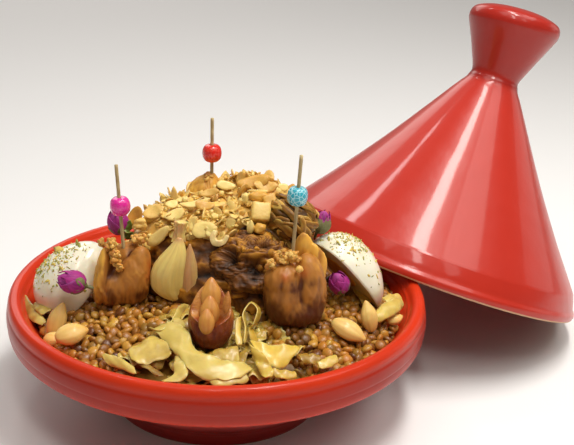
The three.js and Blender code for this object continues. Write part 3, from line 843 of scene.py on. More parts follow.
@dataclass
class Tableware:
    """The dish and its lid, both turned: a profile of radius and height carried once round an axis."""

    sides: int = 192
    inside: Profile = (
        (0, 14), (45, 15.5), (68, 22), (88, 34), (104, 48), (112.5, 57.5), (113.6, 59.4), (114.8, 60.6),
        (119.4, 67.4),
        (120.4, 69.6), (121.8, 71.2), (123.4, 73.8), (125.2, 75.2), (127, 75.6),
    )
    outside: Profile = (
        (127, 75.6), (129.2, 75), (130.7, 73.2), (131.3, 71), (131.3, 69.6), (131.4, 68.4), (132, 67),
        (132.4, 64.4),
        (132.4, 61.6), (132.1, 60.2), (132.1, 59), (131.9, 56.6), (131, 53.6), (128.6, 51.4), (122, 47),
        (96, 28.8),
        (76, 14.4), (71.8, 9.4), (70, 5), (69.4, 2.4), (68.4, 0.5), (67, 0),
    )
    foot: Profile = ((67, 0), (60.5, 0), (59, 1.6), (30, 2), (0, 2))
    lean: float = radians(22.4)
    bearing: float = 0.6228
    reach: float = 189
    mouth: float = 113.8
    knob_tilt: float = 0.055
    lid_outside: Profile = (
        (107.6, 0.2), (110, 0), (112.8, 0.4), (113.8, 2.6), (113.7, 5), (112.6, 6.6), (111.7, 8),
        (110.4, 12),
        (108.4, 17.4), (107.3, 19.6), (104, 23.9), (82.8, 51), (59.5, 82.9), (38.6, 114), (25, 134.6),
        (20.4, 141),
        (19.2, 143.2), (18.6, 145), (17.8, 147), (17.9, 149.4), (19.4, 153.6), (26, 169), (32.2, 182.6),
        (33.4, 186.4),
        (33.3, 189.6), (32.2, 192.6), (29, 195.2), (20.3, 198), (10, 199.2), (0, 199.5),
    )
    lid_inside: Profile = (
        (0, 139), (8, 135), (50.4, 82.9), (74.5, 51), (97.5, 21), (101.6, 15), (104.6, 6), (106.4, 1.2),
        (107.6, 0.2),
    )

    def _turned(self, profile: Array, wobble: float, seed: int) -> tuple[Array, Array, Array]:
        """Carries a profile round +Z with a hand-made wobble: its radius times (1 + wobble noise).

        Args:
            profile: radii and heights.
            wobble: share of the radius.
            seed: which noise.

        Returns:
            The points, and on their grid the radius and the height.
        """
        angle = np.linspace(0, TURN, self.sides, endpoint=False)
        radius, height = profile[:, :1], profile[:, 1:]
        radius = radius * (1 + wobble * rough(around(1, angle, height / 30), 0.9, seed, 2))
        points = around(radius, angle, height)
        return points, radius, points[..., 2].copy()

    def dish(self) -> Shape:
        """The dish on its foot.

        Returns:
            The dish, marked bare under the foot, with painted shade low down and in a band under the rim.
        """
        inner = spline(self.inside, 90)
        profile = np.concatenate([inner, spline(self.outside, 130)[1:], np.array(self.foot)[1:]])
        points, radius, height = self._turned(profile, 0.0012, 3)
        outside = np.arange(len(profile))[:, None] > len(inner)
        # painted shade: darker low on the outside and in a band under the rim
        low = outside * (1 - step(height, 44, 54)) * 0.8
        band = outside * (1 - step(height, 66, 73)) * 0.5 * step(height, 51, 58)
        bare = outside * (1 - step(height, 0.2, 1.2)) * step(radius, 55, 60)
        return rounded(points, bare=bare, shade=np.clip(np.maximum(low, band), 0, 1), rise=height)

    def lid(self) -> Shape:
        """The lid, leaning on the dish's rim with the edge of its mouth on the table.

        The knob was pinched on by hand, so its height gains a small share of the way across it.

        Returns:
            The lid, marked bare at the edge of its mouth, and with painted shade over the knob, deepest at
            the neck, and inside.
        """
        profile = np.concatenate([np.array(self.lid_inside), spline(self.lid_outside, 240)[1:]])
        points, radius, height = self._turned(profile, 0.0014, 8)
        points[..., 2] += self.knob_tilt * points[..., 0] * step(height, 155, 190)
        outside = np.arange(len(profile))[:, None] > 6
        edge = outside * (1 - step(height, 0.7, 2.0)) * step(radius, 100, 106)
        # painted shade: over the knob, deepest at the neck, and all over the inside
        shade = np.where(outside, step(height, 143, 150) * 0.4 + 0.5 * bell(height - 145, 2.5), 0.6)
        shape = rounded(points, bare=edge, shade=np.clip(shade, 0, 1), rise=height * 0.7)
        axis = around(sin(self.lean), self.bearing, cos(self.lean))
        rest = (self.mouth - 0.5) * sin(self.lean) + 0.05
        return shape.moved(standing(axis), around(self.reach, self.bearing, rest))

    def build(self) -> None:
        """Makes both pieces."""
        # the second colour of each glaze is the colour of its painted shade
        glaze = RedGlaze("red_glaze", tint(206, 52, 19), tint(122, 24, 24), coat=0.16, index=1.27)
        lid_glaze = RedGlaze("red_glaze_lid", tint(188, 42, 24), tint(140, 16, 12), index=1.36)
        put("red_dish", self.dish(), glaze, "red_glaze", "dish")
        put("red_lid", self.lid(), lid_glaze, "red_glaze", "lid")


# ---- the bed ----


@dataclass
class Bed:
    """The domed filling that carries everything: height falls with the square of the radius."""

    centre: float = 86
    edge: float = 63
    radius: float = 117.5
    core_radius: float = 113.6
    top_share: float = 0.6
    cover: float = 6.5

    def height(self, x: Array, y: Array) -> Array:
        """Height of the filling at a place."""
        return self.centre - (self.centre - self.edge) * (x**2 + y**2) / self.radius**2

    def slope(self, x: Array, y: Array) -> Array:
        """Unit normals of the filling at places."""
        fall = 2 * (self.centre - self.edge) / self.radius**2
        return unit(np.stack([fall * x, fall * y, np.ones_like(x)], -1))

    def core(self) -> Shape:
        """What is under the sheets and lentils: a crumpled lens whose underside follows the dish.

        Returns:
            The lens, marked with its tone.
        """
        u, v = grid(140, 160)
        out = there_and_back(u, self.top_share)
        radius, angle = self.core_radius * out**0.9, TURN * v
        flat = around(radius, angle, 0)
        relief = 2.6 * rough(flat, 16, 4, 3) * step(out, 0, 0.3)
        upper = self.height(flat[..., 0], flat[..., 1]) - self.cover + relief
        lower = np.interp(radius, *np.array(Tableware.inside).T) + 1.2
        height = np.where(u < self.top_share, np.maximum(upper, lower), lower)
        return rounded(around(radius, angle, height), tone=0.4 + 0.3 * rough(flat, 9, 6))


@dataclass
class Lentils:
    """Two heaps of cooked lentils: loose ones on a core painted dark as shade.

    Loose lentils are put at random over a sector and then settled: each sinks, and is pushed from the floor
    of the heap and from its neighbours until they are well apart.
    """

    bed: Bed
    left: Range = (133, 243)
    right: Range = (297, 405)
    count: int = 1200
    diameter: float = 6.8
    thickness: float = 3.5
    depth: float = 6.2
    rings: Range = (30, 117)
    spacing: Range = (4.7, 5.6)
    rounds: int = 60
    found_every: int = 10
    near: float = 9
    sink: float = 0.35
    push: float = 0.3
    wider: float = radians(8)
    wall: tuple[tuple[float, ...], tuple[float, ...]] = ((48, 60.5, 73.6), (102, 113, 121))

    def one(self) -> Shape:
        """A lens: radius sin(p) to the power 0.75, height cos(p).

        Returns:
            The lens, with the mark rim at its edge.
        """
        u, v = grid(6, 8)
        polar = pi * u
        out = 0.5 * self.diameter * np.sin(polar) ** 0.75
        height = -0.5 * self.thickness * np.cos(polar)
        return rounded(around(out, TURN * v, height), rim=np.sin(polar) ** 3)

    def _pushes(self, places: Array, first: Array, second: Array, apart: Array) -> Array:
        """How far each lentil is pushed by the neighbours that it touches.

        Args:
            places: where the lentils are.
            first: one lentil of each pair of neighbours.
            second: the other.
            apart: how far apart the two should be.

        Returns:
            A vector for each lentil.
        """
        gap = places[first] - places[second]
        distance = np.linalg.norm(gap, axis=-1) + 1e-6
        push = gap * (np.maximum(0, apart - distance) / distance * self.push)[:, None]
        count = len(places)
        sums = [np.bincount(first, part, count) - np.bincount(second, part, count) for part in push.T]
        return np.stack(sums, -1)

    def _fenced(self, places: Array, limits: Array, seed: int) -> Array:
        """Keeps the lentils above the heap's floor, inside the dish and between the sector's ragged edges.

        Args:
            places: where they are.
            limits: the sector's first and last angle; near the middle it is wider on the serving side.
            seed: which ragged edge.

        Returns:
            Where they are then.
        """
        floor = self.bed.height(places[:, 0], places[:, 1]) - self.depth + 1.8
        height = np.maximum(places[:, 2], floor)
        radius = np.hypot(places[:, 0], places[:, 1])
        angle = np.arctan2(places[:, 1], places[:, 0]) % TURN
        angle = np.where(angle < limits[0] - pi, angle + TURN, angle)
        ragged = 0.05 * np.sin(radius / 9 + seed) + 0.03 * np.sin(radius / 3.7)
        wide = self.wider * (1 - step(radius, 50, 75))
        before, after = (wide, 0) if limits[0] > pi else (0, wide)
        angle = np.clip(angle, limits[0] + ragged - before, limits[1] + ragged + after)
        wall = np.interp(height, *self.wall) - 1.2
        radius = np.clip(radius, self.rings[0], np.minimum(wall, self.rings[1]))
        return around(radius, angle, height)

    def settled(self, span: Range, seed: int) -> Array:
        """Places of the loose lentils of one sector.

        Args:
            span: the sector, in degrees from +X.
            seed: which draws.

        Returns:
            A place for each.
        """
        dice = Dice(seed)
        angle = np.radians(dice.uniform(*span, self.count))
        radius = np.sqrt(dice.uniform(self.rings[0] ** 2, self.rings[1] ** 2, self.count))
        places = around(radius, angle, 0)
        floor = self.bed.height(places[:, 0], places[:, 1]) - self.depth
        places[:, 2] = floor + dice.uniform(0, 11, self.count)
        spacing = dice.uniform(*self.spacing, self.count)
        for turn in range(self.rounds):
            if turn % self.found_every == 0:
                square = (places**2).sum(-1)
                close = square[:, None] + square[None] - 2 * places @ places.T < self.near**2
                first, second = np.nonzero(np.triu(close, 1))
                apart = (spacing[first] + spacing[second]) / 2
            places[:, 2] -= self.sink
            places += self._pushes(places, first, second, apart)
            places = self._fenced(places, np.radians(span), seed)
        return places

    def core(self, span: Range) -> Shape:
        """A sector of filling below the loose lentils, painted dark as the shade in the gaps between them,
        with lentil-sized relief on top.

        Args:
            span: the sector, in degrees from +X.

        Returns:
            The sector, marked dark as painted shade.
        """
        u, v = grid(60, 80, closed=False)
        radius = self.rings[0] + (113 - self.rings[0]) * u
        angle = np.radians(span[0] + (span[1] - span[0]) * v)
        floor = self.bed.height(radius * np.cos(angle), radius * np.sin(angle)) - self.depth
        top = around(radius, angle, floor + 1.2)
        top[..., 2] += 1.1 * rough(top, 4.5, 9, 2)
        # painted shade: the core takes the darkest lentil colour
        return leaf(top, around(radius, angle, floor - 3), tone=0.1, rim=0.0, gold=0.0)

    def heap(self, span: Range, seed: int) -> Shape:
        """One heap: the core with its settled, tilted and varied lentils.

        Args:
            span: its sector, in degrees from +X.
            seed: which draws.

        Returns:
            The heap.
        """
        dice = Dice(seed + 50)
        places = self.settled(span, seed)
        count = len(places)
        upright = self.bed.slope(places[:, 0], places[:, 1]) + dice.ways(count, 0.55)
        turns = facing(dice.ways(count), upright)
        sizes = dice.normal(1, 0.09, (count, 1)) * dice.normal(1, 0.07, (count, 3))
        tone = dice.tones(count, 0.5, 0.32)
        gold = dice.uniform(0, 1, count) ** 3
        return joined([self.core(span), self.one().copies(turns, places, sizes, tone=tone, gold=gold)])

    def build(self) -> None:
        """Makes both heaps."""
        finish = Rimmed(
            "lentil_skin", tint(84, 38, 10), tint(190, 124, 40), tint(216, 168, 80), start=0.75, end=1.1,
            strength=0.4, grain=0.9, glow=0.1, sheen=0.16, gold=tint(214, 168, 64),
        )
        put("lentils_loose_left", self.heap(self.left, 1), finish, "lentil", "lentils_left")
        put("lentils_loose_right", self.heap(self.right, 2), finish, "lentil", "lentils_right")


@dataclass(frozen=True)
class Ribbon:
    """A torn strip of bread sheet between two edge lines: how it arches, ruffles and is coloured.

    Points are one(u) (1/2 - v) + other(u) (1/2 + v) + normal (arch (1 - 4 v^2) + ruffle waves), with v from
    -1/2 to 1/2. Crumples, folds and a frill at the edges are added along the normal.
    """

    one: tuple[Point, ...]
    other: tuple[Point, ...]
    arch: float = 1.0
    ruffle: float = 0.5
    tone: float = 0.7
    thick: float = 0.9
    gold: float = 0.0
    rows: int = 56
    columns: int = 17

    @classmethod
    def strip(cls, line: Array | tuple, width: tuple, roll: tuple = (0, 0), **look: float) -> "Ribbon":
        """A ribbon from its middle line.

        Args:
            line: the points of the line.
            width: its widths along the line.
            roll: how far it is rolled about the line, in degrees.
            **look: other fields.

        Returns:
            The ribbon.
        """
        path = spline(line, 9)
        along = unit(np.gradient(path, axis=0))
        side = unit(np.cross(np.broadcast_to((0.0, 0.0, 1.0), along.shape) + 1e-3, along))
        turn = np.radians(spline(roll, 9))[:, None]
        across = side * np.cos(turn) + np.cross(along, side) * np.sin(turn)
        across = across * spline(width, 9)[:, None] / 2
        return cls(tuple(path - across), tuple(path + across), **look)

    def shape(self, seed: int) -> Shape:
        """The strip as a thin closed sheet with soft corners.

        Args:
            seed: which waves, folds and crumples.

        Returns:
            The sheet, marked with its tone, its edge and its gold.
        """
        one, other = spline(self.one, self.rows)[:, None], spline(self.other, self.rows)[:, None]
        u = np.linspace(0, 1, self.rows)[:, None, None]
        corner = np.clip(1 - np.abs(2 * u - 1) ** 11, 0.45, 1) ** 0.5
        v = np.linspace(-0.5, 0.5, self.columns)[None, :, None] * corner
        place = one * (0.5 - v) + other * (0.5 + v)
        across = other - one
        width = np.linalg.norm(across, axis=-1, keepdims=True)
        normal = unit(np.cross(np.gradient((one + other)[:, 0], axis=0)[:, None], across))
        normal = normal * np.sign(normal.mean((0, 1)) @ (0, -0.5, 1))
        wave = np.sin(TURN * (u * (1.1 + 0.3 * len(self.one)) + 0.21 * seed)) * v * 2
        place = place + normal * (self.arch * (1 - 4 * v**2) + self.ruffle * wave)
        sideways = 0.09 * across * np.abs(2 * v) ** 3 * np.sign(v)
        place = place + sideways * rough(place, 6, seed + 9, 2)[..., None]
        folds = 1 - 2 * np.abs(rough(place * (1, 0.7, 1), 12, seed + 5))
        frill = 1.5 * rough(place, 6, seed + 11) * np.abs(2 * v[..., 0]) ** 3
        crumple = 0.45 * rough(place, 10, seed, 2) + 0.4 * folds + 0.1 * rough(place, 3, seed + 1) + frill
        place = place + normal * crumple[..., None] * np.minimum(1, width / 14)
        edge = np.maximum(np.abs(2 * v[..., 0]), np.abs(2 * u[..., 0] - 1) ** 7)
        half = 0.5 * self.thick * np.sqrt(np.clip(1.02 - edge**6, 0.04, 1))[..., None] * normals(place)
        patches = 0.3 * rough(place, 12, seed + 3, 2) + 0.12 * rough(place, 3.5, seed + 6, 2)
        # painted shade and light: the tone follows the crumple, darker in its hollows and lighter on its
        # ridges
        tone = np.clip(self.tone - 0.24 + 0.25 * crumple + patches, 0, 1)
        return leaf(place + half, place - half, tone=tone, rim=edge, gold=self.gold)


@dataclass
class BreadSheets:
    """Torn, folded sheets of thin bread: chosen strips at the serving side and seeded ones elsewhere."""

    bed: Bed
    front: tuple[Ribbon, ...] = (
        Ribbon(((-21, -48, 86), (-24, -56, 87), (-26, -65, 86), (-29, -72, 84), (-33, -76, 83),
                (-40, -73, 83)),
               ((-18, -45, 83), (-21, -52, 82), (-23, -61, 81), (-26, -70, 80), (-32, -73, 79),
                (-38, -69, 80)), 0.4,
               0.3, 0.95),
        Ribbon(
            ((-39, -71, 80), (-34, -78, 79), (-28, -88, 78), (-22, -98, 77), (-16, -106, 75),
             (-9, -113, 73.5),
             (0, -116, 72), (11, -114, 71)),
            ((-25, -70, 85), (-19, -75, 84), (-15, -87, 82), (-10, -97, 80), (-3, -101, 79), (6, -103, 78),
             (14, -102, 76), (21, -102, 74)), 1.2, 0.7, 1.35,
        ),
        Ribbon(((-27, -64, 84), (-22, -66, 85)), ((-25, -73, 83), (-18, -74, 83)), 1.4, 0.2, 0.85),
        Ribbon(((-51, -86, 75), (-41, -78, 78), (-33, -78, 78), (-25, -84, 78)),
               ((-48, -95, 72.5), (-42, -99, 72), (-35, -97, 73), (-26, -95, 75)), 0.8, 0.4, 0.9,
               gold=0.25),
        Ribbon(((-24, -94, 77), (-24, -103, 74.5), (-25, -109, 71.5), (-31, -111, 69.5)),
               ((-17, -98, 78), (-16, -106, 75), (-18, -113, 72), (-28, -115, 70)), 0.6, 0.5, 1.1),
        Ribbon(((-3, -93, 79), (4, -92, 80.5), (11, -88, 81)),
               ((-3, -101, 77), (5, -102, 76), (12, -103, 75)), 0.8,
               0.5, 0.7, gold=0.25),
        Ribbon(((-66, -85, 72), (-57, -90, 73), (-46, -99, 71.5)),
               ((-62, -92, 69), (-54, -98, 69), (-44, -105, 69)),
               0.9, 0.5, 1.05),
        Ribbon(((-45, -96, 71), (-39, -101, 71), (-33, -108, 70)),
               ((-42, -94, 71), (-36, -99, 71), (-29, -106, 70)),
               0.4, 0.3, 0.3, 1.0),
        Ribbon(((-8, -104, 75), (2, -108, 74), (14, -106, 73)),
               ((-4, -116, 70), (6, -117, 70), (18, -112, 70)), 0.8,
               0.5, 0.8),
        Ribbon(((17, -86, 83), (26, -90, 81), (36, -89, 80), (44, -86, 79)),
               ((21, -95, 79), (26, -101, 76), (32, -104, 74), (38, -100, 74), (46, -88, 77)), 0.7, 0.9,
               1.0, 1.0, 0.75),
        Ribbon(((17, -88, 81), (20, -97, 77), (22, -104, 74), (25, -111, 71)),
               ((22, -95, 81), (27, -100, 79), (30, -105, 75), (31, -110, 72)), 0.8, 0.9, 0.9, 1.0, 0.6),
        Ribbon(((30, -104, 74), (36, -104, 73), (43, -103, 72)),
               ((31, -109, 71), (37, -110, 70), (44, -107, 69)), 0.6,
               0.6, 0.6, gold=0.5),
        Ribbon(((15, -88, 80), (15, -79, 86), (14, -71, 91), (18, -65, 95), (22, -69, 93), (21, -74, 88),
                (18, -76, 84)),
               ((16, -82, 79), (16, -73, 85), (15, -66, 89), (19, -59, 92), (24, -64, 91), (23, -69, 86),
                (20, -71, 82)), 0, 0.2, 0.75, 1.0, 0.4),
        Ribbon(((10, -88, 79), (9, -80, 84), (10, -73, 88), (13, -70, 89)),
               ((14, -87, 79), (13, -79, 83), (13, -72, 86), (15, -68, 87)), 0.4, 0.2, 0.7, 1.0, 0.45),
        Ribbon(((17, -72, 83), (18, -80, 81), (19, -86, 80)), ((20, -71, 81), (22, -79, 80), (23, -86, 79)),
               0.5, 0.2,
               0.6, 1.0, 0.5),
        Ribbon(((45, -90, 75), (51, -91, 76), (57, -90, 75)),
               ((47, -96, 73), (53, -97, 72.5), (58, -94, 73)), 1.0,
               0.5, 0.35, gold=0.3),
        Ribbon(((55, -94, 73), (61, -91, 74), (67, -88, 74)),
               ((57, -99, 70.5), (63, -97, 71), (68, -93, 71.5)), 0.8,
               0.4, 0.85, gold=0.3),
        Ribbon(((92, -44, 77), (98, -37, 80), (105, -30, 81), (111, -25, 80)),
               ((96, -48, 73.5), (103, -43, 75), (110, -36, 76), (114, -29, 76)), 1.8, 0.8, 0.8, 1.0, 0.2),
        Ribbon(((100, -26, 80), (106, -22, 81), (112, -18, 79)),
               ((104, -33, 78), (110, -29, 78), (114, -24, 76)), 1.4,
               0.5, 0.95, 1.0, 0.2),
        Ribbon.strip(((86, -8, 78), (90, -16, 77), (93, -24, 74)), (4, 6, 4), (20, 20, 20), arch=0.4,
                     gold=0.9),
        Ribbon.strip(((-122, -6, 69), (-118, -20, 69), (-111, -33, 69), (-104, -43, 68.5)), (4, 7, 7, 5),
                     (60, 55, 40, 20), arch=0.6, tone=0.8, thick=0.9),
        Ribbon.strip(((-111, -20, 71), (-108, -28, 73), (-103, -36, 72)), (6, 9, 8), (10, 20, 10),
                     tone=0.95),
    )
    wild: int = 92

    def seeded(self, number: int) -> Ribbon:
        """A strip at a random place.

        Args:
            number: which strip; an even one lies behind the mound, an odd one below the chosen strips.

        Returns:
            The strip.
        """
        dice = Dice(700 + number)
        behind = number % 2 == 0
        start = dice.uniform(36, 142) if behind else dice.uniform(240, 300)
        radius = dice.uniform(46, 106) if behind else dice.uniform(40, 106)
        heading = dice.uniform(0, TURN)
        place = np.array([radius * cos(radians(start)), radius * sin(radians(start))])
        length = dice.uniform(26, 50) if behind else dice.uniform(18, 34)
        steps = np.linspace(-0.5, 0.5, 4)[:, None]
        bend = np.array([-sin(heading), cos(heading)]) * dice.uniform(-8, 8)
        path = place + steps * length * np.array([cos(heading), sin(heading)]) + (4 * steps**2) * bend
        path *= np.minimum(1, 107 / np.hypot(path[:, 0], path[:, 1]))[:, None]
        lift = -0.5 if behind else -2.2
        heights = self.bed.height(path[:, 0], path[:, 1]) + dice.uniform(-3, 2, 4) + lift
        widths = tuple(dice.uniform(9, 19, 4))
        rolls = tuple(dice.uniform(-30, 30) + dice.uniform(-15, 15, 4))
        # painted shade: the strips below the chosen ones are a tenth darker
        look = {"tone": dice.uniform(0.45, 0.95) - (0 if behind else 0.1), "arch": dice.uniform(-2, 3)}
        look |= {"gold": dice.uniform(0, 0.35), "ruffle": 1.6, "thick": 1.3, "rows": 28, "columns": 9}
        return Ribbon.strip(np.column_stack([path, heights]), widths, rolls, **look)

    def build(self) -> None:
        """Makes the sheets and the crumpled core under them."""
        sheet = Rimmed(
            "bread_sheet", tint(130, 84, 14), tint(216, 192, 100), tint(250, 238, 170), 0.82, 1.12,
            0.6, grain=3.5, relief=0.1, roughness=0.36, glow=0.35, sheen=0.14, gold=tint(228, 190, 60),
        )
        soaked = Moist(
            "soaked_bread", tint(82, 52, 16), tint(150, 112, 44), tint(204, 172, 92), grain=3, relief=0.5,
        )
        strips = [ribbon.shape(number) for number, ribbon in enumerate(self.front, 1)]
        strips += [self.seeded(number).shape(number + 30) for number in range(self.wild)]
        put("bread_strips", joined(strips), sheet, "bread")
        put("bread_core", self.bed.core(), soaked, "bread", "bread_sheets")


# ---- the mound ----


@dataclass
class Mound:
    """The chicken under the flakes: steep sides and a broad crown that falls towards the serving side."""

    x: float = 2
    y: float = 3
    across: float = 60
    deep: float = 52
    top: float = 133
    fall: float = 0.33
    lean: float = 0.12
    foot: float = 74
    depths: tuple[float, ...] = (7.5, 8, 7.5, 4, 0)
    shares: tuple[float, ...] = (0, 0.45, 0.7, 0.87, 1)
    skirt: float = 0.85
    shred_count: int = 150
    bits: int = 13
    torn_size: Point = (29, 16, 25)
    hollows: tuple[tuple[float, float, float, float, float], ...] = (
        (-0.68, 0.42, 0.24, 0.2, 0.42), (0.08, 0.12, 0.4, 0.24, 0.34), (0.74, -0.15, 0.17, 0.34, 0.5),
        (0.1, -0.72, 0.4, 0.2, 0.36), (-0.75, -0.4, 0.25, 0.25, 0.2), (0.35, 0.85, 0.5, 0.12, 0.18),
        (-1.25, -0.5, 0.45, 0.5, 0.3), (-0.02, 0.5, 0.5, 0.13, -0.12), (-0.15, -0.26, 0.5, 0.14, -0.13),
        (0.46, 0.14, 0.12, 0.34, -0.08),
    )

    def height(self, x: Array, y: Array) -> Array:
        """Height of the meat: crown times the root of one minus the fifth power of the distance.

        Args:
            x: places across.
            y: places in depth.

        Returns:
            The height at each place.
        """
        out = np.hypot((x - self.x) / self.across, (y - self.y) / self.deep)
        crown = self.top + self.fall * np.minimum(y - 8, 0) + self.lean * x
        crown = crown + 2 * rough(np.stack([x, y, 0 * x], -1), 14, 21)
        dip = 4.5 * step(-x, 6, 26) + 2 * step(x, 22, 34) + 3.5 * bell(x + 10, 11)
        crown = crown - step(y, -8, 8) * dip
        return self.foot + 2 + (crown - self.foot - 2) * np.sqrt(np.clip(1 - out**5, 0, 1))

    def place(self, out: Array, angle: Array) -> tuple[Array, Array]:
        """Place at a share of the way out to the mound's edge."""
        return self.x + self.across * out * np.cos(angle), self.y + self.deep * out * np.sin(angle)

    def meat(self) -> Shape:
        """The mound itself.

        Returns:
            The mound with fibrous relief, marked with its tone.
        """
        u, v = grid(120, 160)
        rising = np.sin(np.clip(u / self.skirt, 0, 1) * pi / 2)
        out = rising * np.where(u > self.skirt, (1 - u) / (1 - self.skirt), 1)
        x, y = self.place(out, TURN * v)
        points = np.stack([x, y, np.where(u > self.skirt, self.foot, self.height(x, y))], -1)
        fibre = rough(points * (0.35, 1, 1), 5, 2, 3) + 0.5 * rough(points * (1, 0.3, 1), 3, 5, 2)
        outwards = unit(around(1, TURN * v, 0.6))
        points = points + outwards * (1.6 * fibre * (u < self.skirt) - 1.2)[..., None]
        return rounded(points, tone=np.clip(0.4 + 0.5 * fibre, 0, 1))

    def chunk(self) -> Shape:
        """The torn piece at the serving side: an oval with hollows and lips, each a bump of two angles.

        Returns:
            The piece with its loose bits, marked with its tone and moved to its place.
        """
        ways, u, angle = ball(190, 240)
        rise = pi * u - pi / 2
        side = turn_between(angle, FRONT)
        swell = 1 + 0.1 * rough(ways, 0.8, 4, 2)
        depth = np.zeros(side.shape)
        for across, up, wide, tall, deep in self.hollows:
            depth += deep * np.exp(-(((side - across) / wide) ** 2) - ((rise - up) / tall) ** 2)
        swirl = np.hypot((side - 0.08) * 0.8, rise - 0.12) + 0.5 * rough(ways, 0.45, 17, 2)
        strands = np.abs(np.sin(17 * swirl + 4 * rough(ways, 0.5, 7, 2))) ** 0.7 - 0.6
        tears = rough(ways * (1, 1, 2.6), 0.2, 12, 3)
        radius = np.maximum(swell - depth + 0.05 * strands + 0.055 * tears, 0.3)
        points = ways * np.array(self.torn_size) * radius[..., None]
        # painted shade in the hollows and painted light on the lips: the tone falls with the depth of each
        # hollow
        tone = 0.5 - 1.1 * np.maximum(depth, -0.2) + 0.28 * strands + 0.22 * tears
        tone = np.clip(tone + 0.3 * rough(ways, 0.3, 23, 2), 0, 1)
        dice = Dice(31)
        upper = np.argwhere((rise > 0.2) & (rise < 0.8) & (np.abs(side - 0.3) < 0.8))
        places = points[tuple(upper[dice.choice(len(upper), self.bits, replace=False)].T)]
        turns, sizes = dice.turns(self.bits), dice.sizes(self.bits, (3, 5), (0.7, 1.2))
        bits = nugget(11, 12, 4, 0.2).copies(turns, places, sizes, tone=dice.uniform(0.35, 1, self.bits))
        torn = joined([rounded(points, tone=tone), bits])
        return torn.moved(standing((0.05, 0.3, 1)), middle("chicken_front"))

    def shreds(self) -> Shape:
        """Torn fibres of meat on the mound's sides, most of them behind: bent spindles along the slope.

        Returns:
            The fibres, marked with their tones.
        """
        count = self.shred_count
        dice = Dice(5)
        u, v = grid(7, 6)
        thick = np.sin(pi * u) ** 0.6
        bent = 0.08 * thick * np.sin(TURN * v) - 0.16 * (2 * u - 1) ** 2
        spindle = rounded(np.stack([u - 0.5, 0.11 * thick * np.cos(TURN * v), bent], -1))
        angle = dice.uniform(-0.2, pi + 0.6, count)
        x, y = self.place(dice.uniform(0.86, 0.99, count), angle)
        height = self.height(x, y)
        places = np.stack([x, y, height - dice.uniform(0, 1, count) * (height - 80) * 0.9], -1)
        outwards = around(1, angle, 0.25)
        along = np.cross(outwards, dice.ways(count))
        sizes = dice.uniform(13, 26, (count, 1))
        places += unit(outwards) * dice.uniform(-1, 1.5, (count, 1))
        return spindle.copies(facing(along, outwards), places, sizes, tone=dice.tones(count, 0.5, 0.2))

    def build(self) -> None:
        """Makes the meat and its torn piece."""
        finish = Moist(
            "chicken_glaze", tint(26, 12, 3), tint(112, 64, 14), tint(214, 150, 46), grain=1.6, relief=0.35,
            roughness=0.5, glow=0.15, noisy=0.4, sheen=0.05,
        )
        put("chicken_pile", joined([self.meat(), self.shreds()]), finish, "chicken", "chicken_mound")
        put("chicken_torn", self.chunk(), finish, "chicken", "chicken_front")


